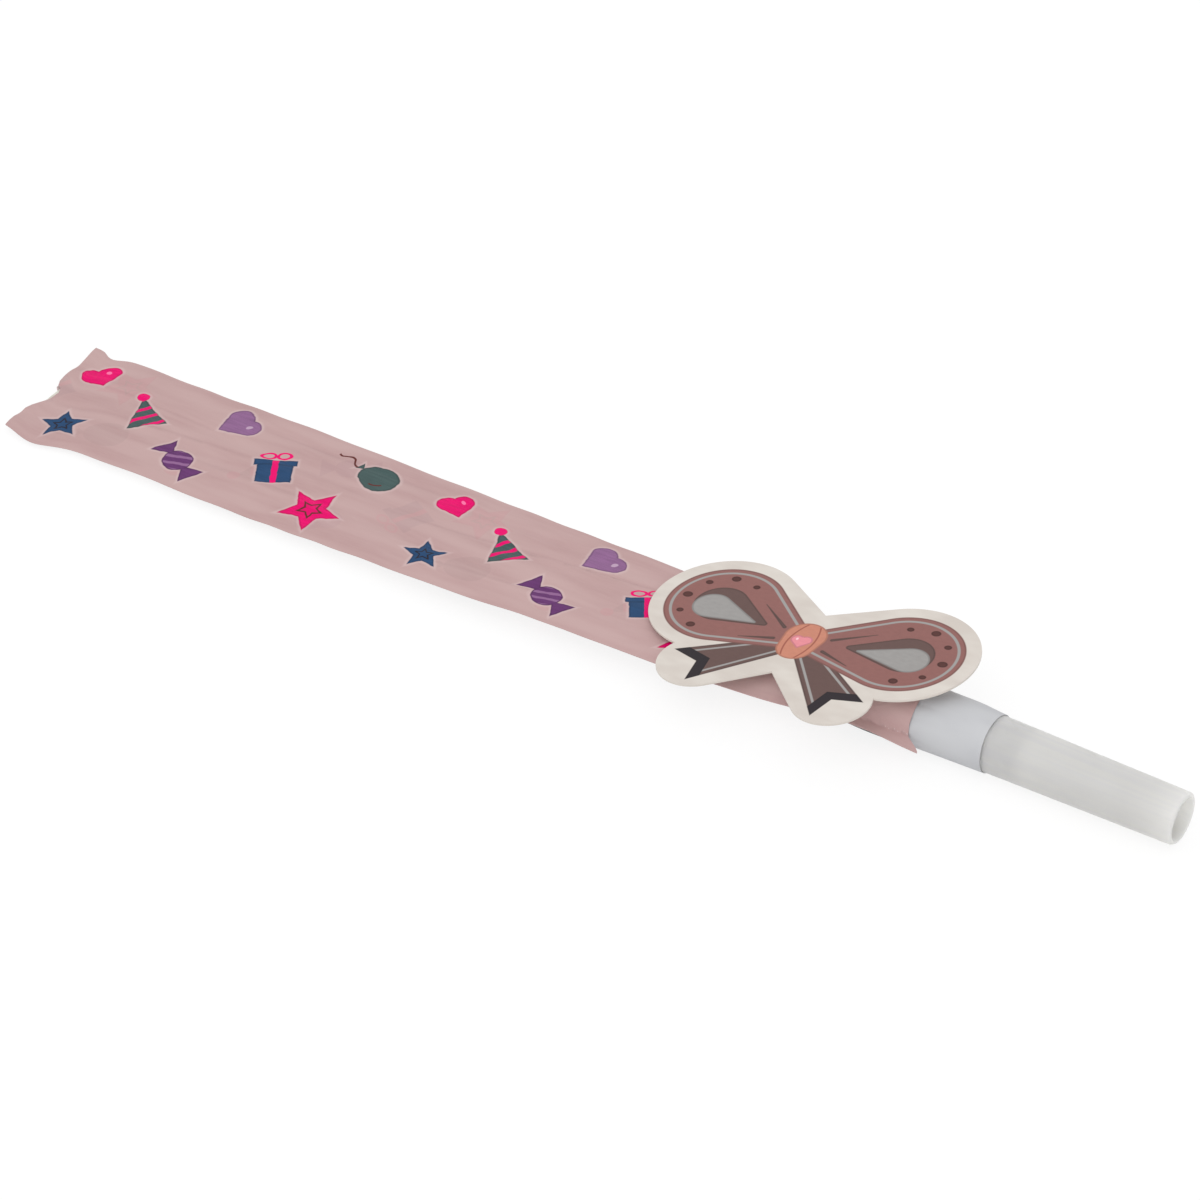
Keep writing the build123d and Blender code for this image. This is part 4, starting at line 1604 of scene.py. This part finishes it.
@dataclass
class Mouthpiece:
    """The tapered plastic tube with a stepped bore and a rounded mouth."""

    places: BlowerFrame
    mouth_radius: float = 6.28
    base_radius: float = 7.03
    mouth_bore: float = 5.2
    mouth_bore_depth: float = 15.0
    bore: float = 5.0
    seat: float = 5.5
    seat_depth: float = 24.0
    rim_round: float = 0.8
    bore_round: float = 0.25
    columns: int = 128
    wall_steps: int = 24
    corner_steps: int = 6
    sharp: float = math.radians(40)

    def profile(self) -> list[tuple[float, float]]:
        """Closed profile of x and radius, from the base along the outside and back along the bore."""
        mouth, base = self.places.x_mouth, self.places.x_base
        length = mouth - base

        def outside(x: float) -> float:
            """Radius of the outer cone."""
            return self.base_radius + (self.mouth_radius - self.base_radius) * (x - base) / length

        straight = np.linspace(base, mouth - self.rim_round, self.wall_steps + 1).tolist()
        line = [(x, outside(x)) for x in straight]
        top = line[-1][1]
        turns = [math.pi / 2 * step / self.corner_steps for step in range(1, self.corner_steps + 1)]
        line += [(mouth - self.rim_round + self.rim_round * math.sin(turn),
                  top - self.rim_round + self.rim_round * math.cos(turn)) for turn in turns]
        line += [(mouth - self.bore_round + self.bore_round * math.cos(turn),
                  self.mouth_bore + self.bore_round - self.bore_round * math.sin(turn))
                 for turn in [0.0, *turns]]
        shelf = mouth - self.mouth_bore_depth
        shoulder = base + self.seat_depth
        line += [(shelf, self.mouth_bore), (shelf, self.bore), (shoulder, self.bore), (shoulder, self.seat)]
        return line + [(base, self.seat)]

    def build(self) -> None:
        """Make the lathed tube."""
        x, radius = np.array(self.profile()).T[..., None]
        turn = 2 * np.pi * np.arange(self.columns) / self.columns
        rings = np.broadcast_arrays(x, radius * np.cos(turn), self.places.axis_z + radius * np.sin(turn))
        cells = ring_cells(len(x), self.columns, closed=True)
        faces = np.roll(cells[:, ::-1], 1, axis=1).tolist()
        mesh = make_mesh("mouth_tube", np.stack(rings, axis=-1).reshape(-1, 3), faces)
        mesh.set_sharp_from_angle(angle=self.sharp)
        piece = add_object("mouth_tube", mesh)
        settle(piece, MILKY, "mouthpiece")
        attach(piece, "blower_root")


@dataclass
class BowCard:
    """The die-cut card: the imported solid, printed with a ribbon bow."""

    border: float = 3.5
    upward: float = 0.5  # faces that point up by more than this may be the card's top
    roughness: float = 0.5

    def build(self) -> None:
        """Find the card's plane and print on it."""
        card = frame["nodes"]["bow_card"]
        upper = (face for face in card.data.polygons if face.normal.z > self.upward)
        top = max(upper, key=lambda face: face.area)
        tilt = math.atan2(-top.normal.x, top.normal.z)
        low, high = (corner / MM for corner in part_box("bow_card"))
        _, loop_rise, loop_radius = PrintedCard.loop
        knot_y = high.y - loop_rise - loop_radius - self.border
        origin = ((low.x + high.x) / 2, knot_y, (low.z + high.z) / 2)
        finish = PrintedCard("PrintedBowCard", "printed_card", self.roughness, origin, tilt)
        finish.dress(card)
        log.info("bow_card: printed, tilted by %.1f degrees", math.degrees(tilt))


class SmallParts(Enum):
    """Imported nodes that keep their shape, with the finish of each."""

    REED_COLLAR = ("reed_collar", REED_PLASTIC)
    REED_SHALLOT = ("reed_shallot", REED_PLASTIC)
    REED_WEDGE = ("reed_wedge", REED_PLASTIC)
    REED_HEEL = ("reed_heel", REED_METAL)
    REED_TONGUE = ("reed_tongue", REED_METAL)
    CARD_GLUE_FRONT = ("card_glue_front", SET_GLUE)
    CARD_GLUE_REAR = ("card_glue_rear", SET_GLUE)
    TIP_GLUE = ("tip_glue", SET_GLUE)

    def build(self) -> None:
        """Dress the node."""
        node, finish = self.value
        finish.dress(frame["nodes"][node])
        log.info("%s: dressed in %s", node, finish.title)


@dataclass
class Studio:
    """Pale floor, soft light and the photograph's camera."""

    target: tuple[float, float, float] = (3.26, 3.49, 0.0)
    azimuth: float = 32.95
    elevation: float = 38.45
    distance: float = 1081.8
    view_angle: float = 15.0
    far_clip: float = 100000.0
    floor_side: float = 6000.0
    floor_drop: float = 0.02  # how far it lies below the blower
    floor_tone: Colour = (0.86, 0.86, 0.86, 1.0)
    floor_glow: float = 1.06
    glow_share: float = 0.8  # how much of its look is glow, so that shadows on it stay faint
    ambient: float = 0.9
    key_power: float = 1.4
    key_side: float = 700.0
    key_place: tuple[float, float, float] = (100.0, -500.0, 750.0)

    def camera(self) -> None:
        """Place the camera."""
        turn, rise = math.radians(self.azimuth), math.radians(self.elevation)
        back = Vector((math.sin(turn) * math.cos(rise), -math.cos(turn) * math.cos(rise), math.sin(rise)))
        lens = bpy.data.cameras.new("camera")
        lens.sensor_fit = "HORIZONTAL"
        lens.angle = math.radians(self.view_angle)
        lens.clip_end = self.far_clip * MM
        made = add_object("camera", lens)
        made.location = (Vector(self.target) + back * self.distance) * MM
        made.rotation_euler = back.to_track_quat("Z", "Y").to_euler()
        bpy.context.scene.camera = made

    @staticmethod
    def seen_directly(graph: Graph) -> Field:
        """1 for rays that show the background: from the camera, off gloss or through glass."""
        path = graph.node("ShaderNodeLightPath")
        names = ("Is Camera Ray", "Is Glossy Ray", "Is Transmission Ray")
        camera, gloss, glass = (Field(graph, path.outputs[name]) for name in names)
        return camera.most(gloss).most(glass)

    def floor(self) -> None:
        """Make the pale floor, which stays white and keeps a faint shadow."""
        half = self.floor_side / 2
        corners = [(-half, -half, 0.0), (half, -half, 0.0), (half, half, 0.0), (-half, half, 0.0)]
        made = add_object("floor", make_mesh("floor", corners, [(0, 1, 2, 3)], rounded=False))
        made.location.z = -self.floor_drop * MM
        cover = bpy.data.materials.new("floor_white")
        cover.use_nodes = True
        cover.node_tree.nodes.clear()
        graph = Graph(cover.node_tree)
        pale = graph.filled(graph.node("ShaderNodeBsdfDiffuse"), {"Color": self.floor_tone})
        glow = graph.filled(graph.node("ShaderNodeEmission"), {"Strength": self.floor_glow})
        share = self.seen_directly(graph) * self.glow_share
        mixed = graph.filled(graph.node("ShaderNodeMixShader"), {0: share, 1: pale, 2: glow})
        graph.feed(graph.node("ShaderNodeOutputMaterial").inputs["Surface"], mixed)
        made.data.materials.append(cover)

    def light(self) -> None:
        """Light the scene evenly from all round, with a broad lamp above."""
        world = bpy.data.worlds.new("studio")
        world.use_nodes = True
        bpy.context.scene.world = world
        graph = Graph(world.node_tree)
        back = world.node_tree.nodes["Background"]
        back.inputs["Color"].default_value = (1.0, 1.0, 1.0, 1.0)
        graph.feed(back.inputs["Strength"], self.seen_directly(graph).switch(self.ambient, 1.0))
        lamp = bpy.data.lights.new("key", "AREA")
        lamp.shape = "DISK"
        lamp.size = self.key_side * MM
        lamp.energy = self.key_power
        made = add_object("key", lamp)
        made.location = Vector(self.key_place) * MM
        made.rotation_euler = (-made.location).to_track_quat("-Z", "Y").to_euler()

    def build(self) -> None:
        """Make the studio."""
        self.camera()
        self.floor()
        self.light()
        bpy.context.scene.view_settings.view_transform = "Standard"
        log.info("studio: floor, lamp and camera")


def main() -> None:
    """Build the studio and every piece of the blower in order."""
    logging.basicConfig(level=logging.INFO, format="%(name)s %(message)s")
    places = BlowerFrame.read()
    Studio().build()
    tube = PaperTube(places)
    tube.build()
    CurlSpring(tube).build()
    PaperSleeve(places).build()
    Mouthpiece(places).build()
    BowCard().build()
    for part in SmallParts:
        part.build()


if __name__ == "__main__":
    main()
